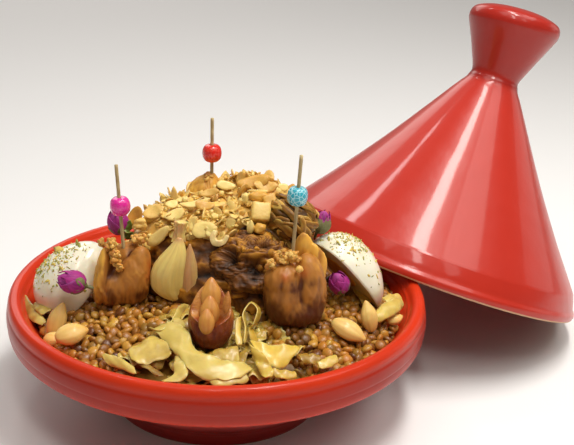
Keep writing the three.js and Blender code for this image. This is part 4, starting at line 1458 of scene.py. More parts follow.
@dataclass
class Onions:
    """Stewed onion strands lying over the mound's right shoulder, on a small soft core."""

    mound: Mound
    count: int = 76
    drape: int = 34
    widths: Range = (2.2, 5)

    def strand(self, number: int) -> Shape:
        """One strand: an arched band that follows the core's surface along a slanting circle.

        Args:
            number: which strand.

        Returns:
            The band.
        """
        dice = Dice(900 + number)
        low, high = box("onions")
        size = (high - low) / 2 * dice.uniform(0.92, 1.06)
        tilt = unit(np.array((0.6, 0.45, 0.64)) + dice.normal(0, 0.3, 3))
        start, span = dice.uniform(0, TURN), dice.uniform(0.7, 1.6)
        first = unit(np.cross(tilt, (0.2, 0.1, 1.0)))
        second = np.cross(tilt, first)
        shift = dice.uniform(-0.7, 0.7)
        sweep = start + span * np.linspace(0, 1, 5)
        ring = np.cos(sweep)[:, None] * first + np.sin(sweep)[:, None] * second
        ring = np.sqrt(1 - shift**2) * ring
        places = middle("onions") + size * (ring + shift * tilt)
        return self.band(places, unit(ring[2] + shift * tilt), dice.uniform(*self.widths), number)

    def draped(self, number: int) -> Shape:
        """One strand lying down the serving side of the mound, across its slope.

        Args:
            number: which strand.

        Returns:
            The band.
        """
        dice = Dice(1200 + number)
        length = dice.uniform(14, 26) * np.linspace(0, 1, 5)
        x = dice.uniform(14, 42) + 0.85 * length + dice.uniform(-2, 2) * np.sin(length / 6)
        y = dice.uniform(-33, -10) - 0.3 * length + dice.uniform(-1, 3)
        z = self.mound.height(x, y) + dice.uniform(-0.5, 2)
        outward = np.array([0.25, -0.75, 0.6])
        return self.band(np.stack([x, y, z], -1), outward, dice.uniform(*self.widths), number + 200)

    def band(self, places: Array, outward: Array, width: float, number: int) -> Shape:
        """A strip through places.

        Args:
            places: its middle line.
            outward: where its flat side faces.
            width: its width at the middle.
            number: which waves and tone.

        Returns:
            The strip, marked with its tone and its edge.
        """
        across = unit(np.cross(outward, np.gradient(places, axis=0))) * width / 2
        across *= np.array([0.5, 1, 1, 1, 0.5])[:, None]
        edges = tuple(places - across), tuple(places + across)
        shape = Ribbon(*edges, 0.6, 0.3, 0.5, 1.0, rows=26, columns=9).shape(number)
        tone = Dice(number).normal(0.5, 0.22)
        return shape.marked(tone=np.clip(tone + 0.35 * (shape.marks["rim"] - 0.4), 0, 1))

    def core(self) -> Shape:
        """The soft mass under the strands.

        Returns:
            The mass, marked with its tone.
        """
        ways = ball(60, 80)[0]
        low, high = box("onions")
        swell = (0.9 + 0.12 * rough(ways, 0.5, 8, 3))[..., None]
        points = middle("onions") + ways * (high - low) / 2 * swell
        return rounded(points, tone=0.25 + 0.2 * rough(ways, 0.4, 6))

    def build(self) -> None:
        """Makes the strands and their core."""
        finish = Moist(
            "stewed_onion", tint(64, 36, 8), tint(146, 100, 32), tint(214, 170, 84), grain=1.4, relief=0.2,
            roughness=0.42, glow=0.3, noisy=0.3, sheen=0.08,
        )
        strands = [self.strand(number) for number in range(self.count)]
        strands += [self.draped(number) for number in range(self.drape)]
        put("onion_strands", joined([self.core(), *strands]), finish, "onion", "onions")


@dataclass(frozen=True)
class Flake:
    """One chosen almond flake or nut piece: where it lies, which way it faces, and its size."""

    at: Point
    face: Point
    long: Point
    size: Range
    tone: float = 0.9
    cut: float = 0.0


@dataclass
class Flakes:
    """Toasted almond flakes heaped over the mound, with crumbs and a few diced pieces."""

    mound: Mound
    count: int = 780
    crumbs: int = 520
    cuts: tuple[float, ...] = (0.0, 0.2, 0.35, 0.6, 0.75, 0.1)
    core_share: float = 0.6
    chosen: tuple[Flake, ...] = (
        Flake((-37.4, -22, 118.4), (0, -1, 0.35), (0.72, 0, 0.7), (18, 9), 0.95, 0.4),
        Flake((-9.5, -29.5, 126), (0, -0.9, 0.5), (1, 0, 0.2), (15.5, 10.5), 0.95, 0.1),
        Flake((-40.8, -5, 127), (0, -0.6, 0.8), (0.9, 0, 0.3), (13, 10), 0.5),
        Flake((-27, -15.5, 129.5), (0, -0.6, 0.8), (0.9, 0.1, 0.35), (12.5, 8)),
        Flake((-29.7, -4, 132), (-0.1, -0.6, 0.8), (0.9, 0.2, 0.1), (8, 6)),
        Flake((-15.8, -7.5, 134), (0, -0.5, 0.85), (1, 0.1, 0.15), (20, 7), 0.85, 0.6),
        Flake((-9.7, -11, 134), (0.1, -0.7, 0.7), (1, 0, -0.1), (12, 6.5), 0.15),
        Flake((-21.3, -17.5, 128.4), (0, -0.9, 0.3), (0.8, 0, 0.6), (9, 4), 0.1, 0.5),
        Flake((6.2, -27.5, 129.4), (0.1, -0.8, 0.5), (0.4, 0, 1), (7, 6), 0.85),
        Flake((23, -5, 142.2), (0, -0.9, 0.4), (1, 0, 0), (13, 4), 0.95, 0.7),
        Flake((20.5, 4, 144.3), (0, -0.75, 0.6), (1, 0, 0.22), (21, 9), 0.1),
        Flake((27.5, 1, 142.6), (0.1, -0.7, 0.7), (1, 0, -0.1), (15, 8), 0.3),
        Flake((12.7, 15, 143), (0, -0.9, 0.3), (0.2, 0, 1), (9, 6), 0.6),
        Flake((3, 6.5, 141), (0, -0.8, 0.6), (1, 0, -0.15), (12.5, 6), 1.0),
        Flake((-6.5, 0, 138.4), (0, -0.8, 0.6), (1, 0, 0.25), (12, 5), 0.4),
        Flake((-52, -5, 124), (-0.3, -0.8, 0.5), (0.6, 0, 0.8), (15, 9), 0.0),
        Flake((39, 8, 140), (0, -0.8, 0.6), (1, 0, -0.2), (7, 5), 0.9),
        Flake((34, 3, 139.6), (0.3, -0.8, 0.6), (1, 0.3, -0.5), (8, 5), 0.8),
    )
    lumps: tuple[tuple[Point, Point, float], ...] = (
        ((-48.6, -10.5, 121), (9.5, 7, 7), 0.45), ((-47.8, -10.5, 114), (7, 5, 4.5), 0.6),
        ((23, -9.5, 139.4), (12.5, 7, 7.5), 0.0), ((23.6, -28.5, 126.5), (8, 6, 6.5), 0.05),
        ((15.6, -8.5, 138.6), (5, 5, 6), 0.9), ((13, -8.5, 136), (5, 4, 4), 0.8),
        ((18, -10.5, 135.6), (4, 4, 4.5), 0.7),
        ((-50, -12, 108), (5, 4, 4), 0.5), ((30, -20, 130), (6, 5, 5), 0.1),
        ((-3, -20, 130.5), (5, 4, 4), 0.9),
    )
    cubes: tuple[tuple[Point, float, float, Point], ...] = (
        ((24.5, -18, 132.6), 12, 0.58, (1, 0, -0.06)), ((30, -12, 137.4), 8, 0.2, (1, 0.3, 0.3)),
    )
    curl: Ribbon = Ribbon(
        ((-4, -33, 127), (-6, -35, 123), (-4, -37, 119), (2, -36, 119), (6, -34, 124)),
        ((-1, -34, 127), (-2, -36, 124), (-1, -37, 122.5), (1.5, -36, 122.5), (3, -34.5, 125)), 0.2, 0.2,
        0.8, 2.0,
    )

    def template(self, cut: float, seed: int = 0, corners: int = 14) -> Shape:
        """A slice of almond: two flat faces with a narrow bevel, a broken outline, bent up along its length.

        Args:
            cut: share of its width that is broken off one side.
            seed: which outline and bend.
            corners: of its outline.

        Returns:
            The slice, about one long, with the mark rim at its edge.
        """
        out = np.array([0, 0.55, 0.93, 1, 0.93, 0.55, 0])[:, None]
        side = np.array([-1, -1, -0.9, 0, 0.9, 1, 1])[:, None]
        angle = TURN * np.arange(corners) / corners
        jagged = Dice(seed + 30).uniform(-1, 1, corners)
        edge = 1 + jagged * 0.9 / corners + 0.06 * np.cos(3 * angle + seed)
        x, y = 0.5 * out * edge * np.cos(angle), 0.5 * out * edge * np.sin(angle)
        y = np.where(y > 0, y * (1 - cut), y)
        z = 0.045 * side + (0.25 + 0.12 * (seed % 4)) * x**2 + 0.25 * y * x * (seed % 3 - 1)
        return rounded(np.stack([x, y, z], -1), rim=out)

    def front(self, x: Array) -> Array:
        """How far the flakes reach towards the serving side, by their place across."""
        places = [-58, -44, -30, -12, 2, 12, 20, 28, 36, 52]
        return np.interp(x, places, [-12, -20, -20, -31, -34, -26, -21, -13, -1, 8])

    def laid(self, count: int, seed: int, lift: float) -> Array:
        """Random places in the heap.

        Args:
            count: how many are drawn; those in front of the heap are left out.
            seed: which draws.
            lift: how far up in the heap the highest lie, as a share of its depth.

        Returns:
            The places.
        """
        dice = Dice(seed)
        share = np.sqrt(dice.uniform(0, 0.93, count)) * 0.97
        x, y = self.mound.place(share, dice.uniform(0, TURN, count))
        keep = y > self.front(x)
        x, y, share = x[keep], y[keep], share[keep]
        depth = np.interp(share, self.mound.shares, self.mound.depths)
        height = self.mound.height(x, y) + depth * dice.uniform(0.1, lift, len(x))
        return np.stack([x, y, height], -1)

    def loose(self) -> list[Shape]:
        """Seeded flakes in several cuts, and crumbs between them.

        Returns:
            One shape for each cut and one for the crumbs.
        """
        dice = Dice(77)
        shapes = []
        for kind, cut in enumerate(self.cuts):
            places = self.laid(self.count // len(self.cuts), 40 + kind, 0.98)
            x, y, _ = places.T
            count = len(places)
            slope = np.stack([(x - 2) * 0.012, (y - 3) * 0.016 - 0.18, np.ones(count)], -1)
            upright = unit(slope) + dice.ways(count, 0.42)
            turns = facing(dice.ways(count), upright)
            length = np.clip(dice.lognormal(1.98, 0.36, count), 3.5, 14)
            sizes = np.stack([length, length * dice.uniform(0.5, 0.85, count), length * 0.9], -1)
            toast = 0.72 - 0.45 * step(x, 14, 36) * step(y, -16, 6) + dice.normal(0, 0.24, count)
            slices = self.template(cut, kind)
            shapes.append(slices.copies(turns, places, sizes, tone=np.clip(toast, 0, 1)))
        places = self.laid(self.crumbs, 60, 1.08)
        count = len(places)
        turns, sizes = dice.turns(count), dice.sizes(count, (1.2, 4.4), (0.6, 1.3))
        crumbs = nugget(5, 6, 3).copies(turns, places, sizes, tone=dice.tones(count, 0.65, 0.25))
        return [*shapes, crumbs]

    def placed(self) -> list[Shape]:
        """The chosen flakes, lumps and diced pieces, a curl and a kernel.

        Returns:
            One shape for each.
        """
        shapes = [self.curl.shape(4)]
        for number, flake in enumerate(self.chosen):
            one = self.template(flake.cut, number, 30)
            one = one.copies(STILL[None], np.zeros((1, 3)), np.array([[*flake.size, max(flake.size)]]))
            shapes.append(one.moved(facing(flake.long, flake.face), flake.at).marked(tone=flake.tone))
        for number, (at, size, tone) in enumerate(self.lumps):
            one = nugget(22, 26, number + 5, 0.3)
            shapes.append(one.moved(np.diag(size), at).marked(tone=tone))
        kernel = almond(9, 4.6, 4, 3).moved(facing((0.1, 0, 1), (0, -1, 0.2)), (18.2, -28.5, 127.5))
        shapes.append(kernel.marked(tone=0.95, rim=0.2))
        for number, (at, size, tone, along) in enumerate(self.cubes):
            turn = facing(along, (0, -0.75, 0.6))
            shapes.append(diced(number).moved(turn * size, at).marked(tone=tone))
        return shapes

    def core(self) -> Shape:
        """What is under the loose flakes: a thin rough cap over the mound's crown.

        Returns:
            The cap, marked with its tone.
        """
        u, v = grid(50, 90)
        out = there_and_back(u, self.core_share) * 0.84
        x, y = self.mound.place(out, TURN * v)
        y = np.maximum(y, self.front(x) + 5)
        depth = np.interp(out, self.mound.shares, self.mound.depths) * 0.45
        relief = 1.4 * rough(np.stack([x, y, 0 * x], -1), 4, 13, 3)
        height = self.mound.height(x, y) + np.where(u < self.core_share, depth + relief, -3)
        points = np.stack([x, y, height], -1)
        return rounded(points, tone=0.35 + 0.2 * rough(points, 3, 2), rim=0.5)

    def build(self) -> None:
        """Makes the heap of flakes with its diced pieces, and a green leaf beside it."""
        toasted = Rimmed(
            "toasted_flake", tint(196, 124, 54), tint(248, 230, 160), tint(186, 124, 58), start=0.8, end=1.1,
            strength=0.5, grain=1.4, relief=0.12, roughness=0.45, glow=0.2, sheen=0.06,
        )
        heap = joined([self.core(), *self.loose(), *self.placed()])
        put("almond_flake_heap", heap, toasted, "flakes", "almond_flakes")
        green = Rimmed("herb_leaf", tint(70, 84, 24), tint(126, 142, 60), tint(150, 160, 80), glow=0.2)
        line = ((-55.5, -9, 110), (-56.5, -9.5, 116), (-55.5, -8.5, 123))
        herb = Ribbon.strip(line, (3, 6.5, 2), (80, 80, 80), arch=0.8, tone=0.5, thick=0.7)
        put("herb_leaf", herb.shape(3), green, "sepal")


# ---- figs ----


@dataclass
class Fig:
    """A dried fig split open over chopped walnut: soft lobes with pleats that run up them.

    The lobes are one surface seen from a point low inside; a second, smaller form can stand behind it.
    """

    SKIN: ClassVar[Finish] = Streaked(
        "fig_skin", tint(186, 124, 50), tint(92, 44, 14), tint(232, 176, 72), lines=5, strength=0.3,
        relief=0.2, roughness=0.42, glow=0.25, sheen=0.12,
    )
    NUT: ClassVar[Finish] = Moist(
        "syrupy_walnut", tint(150, 90, 34), tint(214, 154, 70), tint(238, 190, 104), grain=1.2,
        relief=0.15, roughness=0.45, glow=0.3, noisy=0.25, sheen=0.08,
    )
    node: str
    form: Lobes
    nuts: tuple[tuple[Point, Point, int], ...]
    seed: int
    pleat: float = 0.35
    tone: float = 0.5
    blushes: tuple[tuple[Point, float], ...] = ()
    low: float = 0.45
    # painted light: how much lighter the left side is made
    painted_left_light: float = 0.0
    flap: Lobes | None = None

    def skin(self) -> Shape:
        """The lobes: pleats are sines of the angle round, bent by noise, and wrinkles are noise.

        Returns:
            The lobes, marked with their tone, blush, height and angle.
        """
        points, u, angle, crease = self.form.surface(130, 170)
        outwards = unit(points - np.array(self.form.inner))
        bend = 1.6 * rough(points, 9, self.seed, 2)
        pleats = np.sin(19 * angle + 3 * bend) + 0.5 * np.sin(41 * angle - 4 * bend)
        pleats = pleats * np.sin(pi * u) * (0.5 + 0.5 * rough(points, 12, self.seed + 3))
        wrinkles = rough(points * (1, 1, 0.45), 4.5, self.seed + 1, 3)
        points = points + outwards * (self.pleat * pleats + 0.45 * wrinkles)[..., None]
        low = 1 - step(points[..., 2] + 3 * rough(points, 9, self.seed + 9), -6, 26)
        # painted shade: darker in the creases between the lobes
        tone = self.tone + 0.1 * pleats + 0.14 * wrinkles - 0.28 * np.maximum(crease, 0) - self.low * low
        # painted highlight: lighter towards the top
        tone = tone + 0.16 * rough(points, 8, self.seed + 5) + 0.2 * step(points[..., 2], 28, 42)
        # painted light: the left side is made lighter
        tone = np.clip(tone + self.painted_left_light * step(-points[..., 0], 8, 12), 0, 1)
        blush = sum(bell(np.linalg.norm(points - at, axis=-1), size) for at, size in self.blushes)
        return rounded(points, tone=tone, blush=np.clip(blush, 0, 0.8), rise=u * 2, round=angle / 2)

    def back(self) -> Shape:
        """The flap behind: thin, gold-coloured and creased.

        Returns:
            The flap, marked like the lobes.
        """
        points, u, angle, _ = self.flap.surface(90, 110)
        creases = rough(points * (1, 1, 0.3), 3.5, self.seed + 7, 3)
        points = points + unit(points - np.array(self.flap.inner)) * 0.9 * creases[..., None]
        return rounded(points, tone=np.clip(0.95 + 0.3 * creases, 0.5, 1), blush=0, rise=u, round=angle / 3)

    def walnut(self) -> Shape:
        """Chopped walnut heaped round given points: lumpy crumbs.

        Returns:
            The crumbs, marked with their tones.
        """
        dice = Dice(self.seed + 300)
        shapes = []
        for at, spread, count in self.nuts:
            places = unit(dice.ways(count)) * dice.uniform(0.2, 1, (count, 1)) * spread + at
            turns, sizes = dice.turns(count), dice.sizes(count, (1.8, 4.2), (0.7, 1.25))
            crumb = nugget(11, 12, self.seed, 0.42)
            shapes.append(crumb.copies(turns, places, sizes, tone=dice.tones(count, 0.6, 0.22)))
        return joined(shapes)

    def build(self) -> None:
        """Makes the fig and its walnut."""
        at = foot(f"fig_{self.node}")
        shapes = [self.skin(), self.back()] if self.flap else [self.skin()]
        put(f"fig_skin_{self.node}", joined(shapes).moved(STILL, at), self.SKIN, "fig", f"fig_{self.node}")
        nuts = self.walnut().moved(STILL, at)
        put(f"walnut_bits_{self.node}", nuts, self.NUT, "walnut", f"walnut_{self.node}")


FIGS = (
    Fig(
        "left",
        Lobes(
            (-1, 0, 9),
            (
                Oval((-12.5, -6, 17), (5, 8, 19), 8), Oval((6, -7, 15), (10.5, 9, 16), 6),
                Oval((9.5, -5, 25), (7, 6.5, 11.5), 10), Oval((2, 4, 15), (15, 11, 20)),
                Oval((-5.5, -7, 10), (11, 9.5, 12)),
            ),
            0.9, 2,
        ),
        (
            ((-7, -6, 37), (3.6, 3, 5.5), 60), ((-4, -10, 31), (3, 2.6, 5), 44),
            ((-1.5, -12, 26.5), (1.8, 2, 2.5), 10), ((9, 1, 38.5), (6, 3, 2.2), 40),
            ((-13, -3, 37), (3, 2.5, 2), 8),
        ),
        11, 0.4, 0.42, (((17, -7, 26), 4), ((14, -10, 19), 3)), 0.3, 0.6,
    ),
    Fig(
        "right",
        Lobes(
            (0, 0, 14),
            (
                Oval((-6, -5, 18), (12.5, 13, 20)), Oval((-6.5, -7, 29), (11.5, 10.5, 10)),
                Oval((9, -3, 21), (10, 13, 23), -5), Oval((0, 4, 19), (15.5, 12, 21)),
                Oval((1.5, -6.5, 10), (15, 11.5, 11)),
            ),
            0.65, 1,
        ),
        (
            ((-7, -5, 42.5), (6.5, 4, 4), 70), ((-14, -9, 38), (2.5, 3, 3.5), 22),
            ((-1, -7, 44), (3, 3, 3.5), 22), ((1.4, -14, 38.5), (1.2, 1.2, 1.2), 4),
        ),
        12, 0.4, 0.37, (((-6.5, -17, 35), 3.2), ((4, -13, 36), 3)), 0.8, 0,
        Lobes(
            (8, 4, 34), (Oval((5.5, 5, 42), (5.5, 3, 12.5), -6), Oval((11, 4, 33), (8.5, 4, 14))), 0.7,
        ),
    ),
    Fig(
        "back",
        Lobes((0, 0, 12), (Oval((0, 0, 14), (13.5, 12.5, 17)), Oval((2, 0, 22), (6, 8, 12))), 0.9, 3),
        (((1, -3, 30), (3.5, 4, 3.5), 16),), 13, 0.5, 0.78,
    ),
)


# ---- eggs ----


@dataclass
class HalfEgg:
    """Half a boiled egg: its long axis, the way its round side faces, and where its seasoning lies."""

    WHITE: ClassVar[Finish] = Rimmed(
        "egg_white", tint(224, 216, 180), tint(248, 245, 226), tint(226, 190, 108), start=0.6, end=1.0,
        strength=0.75, grain=8, relief=0.06, roughness=0.22, glow=0.3, sheen=0.3,
    )
    YOLK: ClassVar[Finish] = Moist(
        "egg_yolk", tint(176, 104, 24), tint(218, 144, 40), tint(240, 186, 78), grain=1.1, relief=0.4,
        roughness=0.6, glow=0.15,
    )
    SPICE: ClassVar[Finish] = Rimmed(
        "herb_and_spice", tint(138, 144, 62), tint(220, 190, 92), tint(176, 120, 52), start=0.5, end=0.9,
        strength=0.4, roughness=0.6, glow=0,
    )
    side: str
    along: Point
    outward: Point
    seasoned: Point
    specks: int
    length: float = 55
    width: float = 43
    blunt: float = 0.16
    yolk: float = 13
    shift: float = -4
    moved: Point = (0, 0, 0)

    def white(self) -> Shape:
        """The white: an egg's half, round on its upper side, with a soft edge and a dished cut.

        Returns:
            The white along X, marked with its tone and with rim on the cut.
        """
        u, v = grid(96, 140)
        polar, angle = pi * u, TURN * v
        out = self.width / 2 * np.sin(polar) * (1 + self.blunt * np.cos(polar))
        upper = np.sin(angle)
        flat = np.abs(np.cos(angle)) ** 0.9 * np.sign(np.cos(angle))
        y = out * np.where(upper > 0, np.cos(angle), flat * 0.985)
        z = np.where(upper > 0, out * upper, -0.25 * out / 20 * np.abs(upper))
        z = z + 0.6 * bell(upper, 0.07) * np.sin(polar)
        points = np.stack([-self.length / 2 * np.cos(polar), y, z], -1)
        points = points + 0.3 * rough(points, 11, 5, 2)[..., None] * (0, 0, 1)
        cut = step(-upper, 0.05, 0.2)
        return rounded(points, tone=0.6 + 0.3 * rough(points, 14, 6) - 0.5 * cut, rim=cut)

    def yolk_half(self) -> Shape:
        """The yolk's flat face, crumbly and a little proud, with its round underside in the white.

        Returns:
            The yolk, marked with its tone.
        """
        u, v = grid(40, 60)
        polar, angle = pi * u, TURN * v
        out = self.yolk * np.sin(polar)
        z = np.where(np.sin(angle) > 0, out * np.sin(angle) * 0.75, -0.55 * np.sin(polar) ** 0.3)
        points = np.stack([self.shift - self.yolk * np.cos(polar), out * np.cos(angle), z], -1)
        points[..., 2] += np.where(np.sin(angle) < 0, 0.25 * rough(points, 1.6, 3, 2), 0)
        return rounded(points, tone=0.5 + 0.4 * rough(points, 3, 3, 2))

    def seasoning(self, turn: Array, at: Array) -> Shape:
        """Crumbs of spice and dried herb on the white, thickest round one direction.

        Args:
            turn: how the white is turned.
            at: where it lies.

        Returns:
            The crumbs, marked with their tones.
        """
        dice = Dice(len(self.side) + 7)
        way = unit(unit(np.asarray(self.seasoned) @ turn) + dice.ways(self.specks, 0.34))
        way[:, 2] = np.abs(way[:, 2])
        half = self.width / 2 * (1 - self.blunt * way[:, 0])
        places = way * np.stack([np.full(self.specks, self.length / 2), half, half], -1)
        turns = facing(dice.ways(self.specks), way @ turn.T + dice.ways(self.specks, 0.3))
        uneven = (0.5, 0.4, 0.3), (1.9, 0.9, 0.5)
        sizes = dice.lognormal(0.25, 0.4, (self.specks, 1)) * dice.uniform(*uneven, way.shape)
        tone = dice.uniform(0, 1, self.specks)
        return nugget(5, 6, 3).copies(turns, places @ turn.T + at, sizes, tone=tone)

    def build(self) -> None:
        """Makes the white, the yolk and the seasoning."""
        turn = facing(self.along, self.outward)
        shape = self.white().moved(turn, (0, 0, 0))
        centre = (shape.points.min(0) + shape.points.max(0)) / 2
        at = middle(f"egg_{self.side}") - centre + self.moved
        put(f"egg_white_{self.side}", shape.moved(STILL, at), self.WHITE, "egg_white", f"egg_{self.side}")
        yolk = self.yolk_half().moved(turn, at)
        put(f"egg_yolk_{self.side}", yolk, self.YOLK, "yolk", f"yolk_{self.side}")
        put(f"egg_spice_{self.side}", self.seasoning(turn, at), self.SPICE, "sepal")


EGGS = (
    HalfEgg(
        "left", (0.62, 0.1, 0.75), (-0.66, -0.5, 0.6), (-0.6, -0.4, 0.85), 300, moved=(0, 0, -3.4),
    ),
    HalfEgg(
        "right", (0.7, -0.13, -0.7), (0.76, 0.4, 0.51), (0.2, -0.1, 1.0), 300, 59, 45,
        moved=(-2.6, 0, -1.4),
    ),
)


# ---- garlic, date, almonds ----


@dataclass
class Clove:
    """A whole clove of garlic: a profile of widths from foot to tip round a bent middle line, with a keel.

    Its tip and its foot lie to one side by bend and heel, and ridge is the keel's place in degrees round.
    """

    name: str
    radius: float
    bend: float
    heel: float
    ridge: float
    tone: float
    seed: int
    widths: tuple[float, ...]
    moved: Point = (0, 0, 0)

    def build(self, skin: Finish) -> None:
        """Makes the clove.

        Args:
            skin: its finish.
        """
        u, v = grid(110, 120)
        node = f"garlic_{self.name}"
        low, high = box(node)
        angle = TURN * v
        width = np.interp(u, np.linspace(0, 1, len(self.widths)), self.widths)
        width = softened(width, 4) * np.sqrt(np.clip(u / 0.04, 0, 1)) * np.where(u > 0.995, 0.2, 1)
        keel = turn_between(angle, radians(self.ridge))
        out = self.radius * width * (1 + 0.12 * bell(keel, 0.22) - 0.06 * bell(np.abs(keel) - 0.5, 0.25))
        out = out * (1 + 0.012 * np.cos(17 * angle + 2 * u))
        side = self.bend * step(u, 0.42, 1) + self.heel * (1 - step(u, 0, 0.28)) - 0.12 * self.bend
        points = around(out, angle, (high[2] - low[2] + 3) * u) * (1, 0.86, 1)
        points[..., 0] += side
        points = points + 0.2 * rough(points * (1, 1, 0.4), 6, self.seed, 3)[..., None]
        flush = 0.5 + self.tone * 0.4 + 0.35 * bell(keel, 0.5) * self.tone + 0.4 * step(u, 0.84, 1)
        flush = np.clip(flush + 0.3 * bell(u, 0.08) + 0.08 * rough(points, 8, self.seed), 0, 1)
        shape = rounded(points, tone=flush, rise=u, round=v, blush=0)
        shape = shape.moved(STILL, foot(node) + (0, 0, 0.1) + self.moved)
        put(f"clove_{self.name}", shape, skin, "garlic", node)


@dataclass
class Garlic:
    """Two whole cloves in their skins and the papery stem that joins them."""

    cloves: tuple[Clove, ...] = (
        Clove(
            "large", 10.3, 6.5, 5, -28, 0.05, 1,
            (0.06, 0.62, 0.86, 0.97, 1, 0.99, 0.93, 0.8, 0.6, 0.38, 0.1),
        ),
        Clove(
            "small", 5.6, 0.5, 0.5, -100, 0.8, 2,
            (0.06, 0.66, 0.9, 1, 1, 0.95, 0.87, 0.74, 0.56, 0.35, 0.08), (0, -2, -0.5),
        ),
    )
    stem_radius: float = 4
    stem_shift: Point = (-1.4, 0, 1)

    def stem(self) -> Shape:
        """The papery neck: a twisted, pleated tube.

        Returns:
            The neck in its place, marked like a clove.
        """
        u, v = grid(50, 72)
        low, high = box("garlic_stem")
        angle = TURN * v + 0.6 * u
        closed = np.where((u == 0) | (u == 1), 0, 1)
        pleats = 1 + 0.13 * np.cos(7 * angle) + 0.05 * np.cos(17 * angle)
        out = self.stem_radius * (1 - 0.25 * np.sin(pi * u)) * pleats * closed
        points = around(out, angle, (high[2] - low[2]) * u)
        points = points + 0.4 * rough(points, 3, 8, 2)[..., None]
        shape = rounded(points, tone=0.75 + 0.3 * rough(points, 4, 3), rise=u, round=v, blush=0)
        return shape.moved(standing((0.1, 0.1, 1)), foot("garlic_stem") + self.stem_shift)

    def build(self) -> None:
        """Makes the cloves and the stem."""
        skin = Streaked(
            "garlic_skin", tint(236, 212, 126), tint(170, 128, 62), tint(204, 156, 104), lines=22,
            strength=0.3, relief=0.1, roughness=0.34, glow=0.35, sheen=0.2,
        )
        for clove in self.cloves:
            clove.build(skin)
        put("clove_stem", self.stem(), skin, "garlic", "garlic_stem")


def almond(length: float, width: float, thick: float, seed: int) -> Shape:
    """An almond: sin(pi u^0.9)^0.55 wide, its far end drawn out to a blunt tip, with shallow ridges.

    Args:
        length: along X.
        width: along Y.
        thick: along Z.
        seed: which ridges.

    Returns:
        The almond, marked with its tone, its length and its angle.
    """
    u, v = grid(54, 48)
    angle = TURN * v
    out = np.sin(pi * u**0.9) ** 0.55 * (1 - 0.22 * step(u, 0.55, 1))
    ridge = 1 + 0.018 * np.cos(7 * angle + seed) + 0.01 * np.cos(13 * angle)
    y, z = 0.5 * width * out * np.cos(angle) * ridge, 0.5 * thick * out * np.sin(angle) * ridge
    points = np.stack([length * (u - 0.5), y, z], -1)
    points = points + 0.15 * rough(points, 5, seed, 2)[..., None]
    tone = np.clip(0.5 + 0.35 * bell(u - 1, 0.2) + 0.15 * rough(points, 7, seed), 0, 1)
    return rounded(points, tone=tone, rise=u, round=v, blush=0)


@dataclass
class Almonds:
    """Whole almonds on the lentils: which, size, way along, way up, and shift from the solid's middle."""

    laid: tuple[tuple[str, Point, Point, Point, Point], ...] = (
        ("left_1", (22.5, 11, 9), (0.34, 0.35, 0.95), (0, -0.9, 0.5), (0.4, 0, -2)),
        ("left_2", (20, 13.5, 9.5), (1, 0.35, 0.15), (0, -0.5, 1), (-2.4, 0, 0)),
        ("left_3", (13, 10, 8), (0.9, -0.5, 0.1), (0, -0.4, 1), (-1, -2, -4)),
        ("right_1", (23, 12.5, 9.5), (0.84, -0.4, -0.34), (0.1, -0.5, 0.9), (0.6, -2, 0.4)),
        ("right_2", (20, 10.5, 8.5), (-0.25, 0.3, 0.95), (0.4, -0.9, 0.3), (1.5, 0, 0)),
        ("right_3", (11, 7.5, 6), (0.8, 0.4, 0.2), (-0.2, -0.4, 0.9), (4, 0, 1)),
    )

    def build(self) -> None:
        """Makes the almonds."""
        skin = Streaked(
            "fried_almond", tint(236, 200, 118), tint(214, 160, 78), tint(222, 168, 84), lines=14,
            strength=0.3, relief=0.1, roughness=0.36, glow=0.3, sheen=0.2,
        )
        for number, (name, size, along, face, shift) in enumerate(self.laid, 1):
            node = f"almond_{name}"
            shape = almond(*size, number).moved(facing(along, face), middle(node) + shift)
            put(f"whole_{node}", shape, skin, "almond", node)


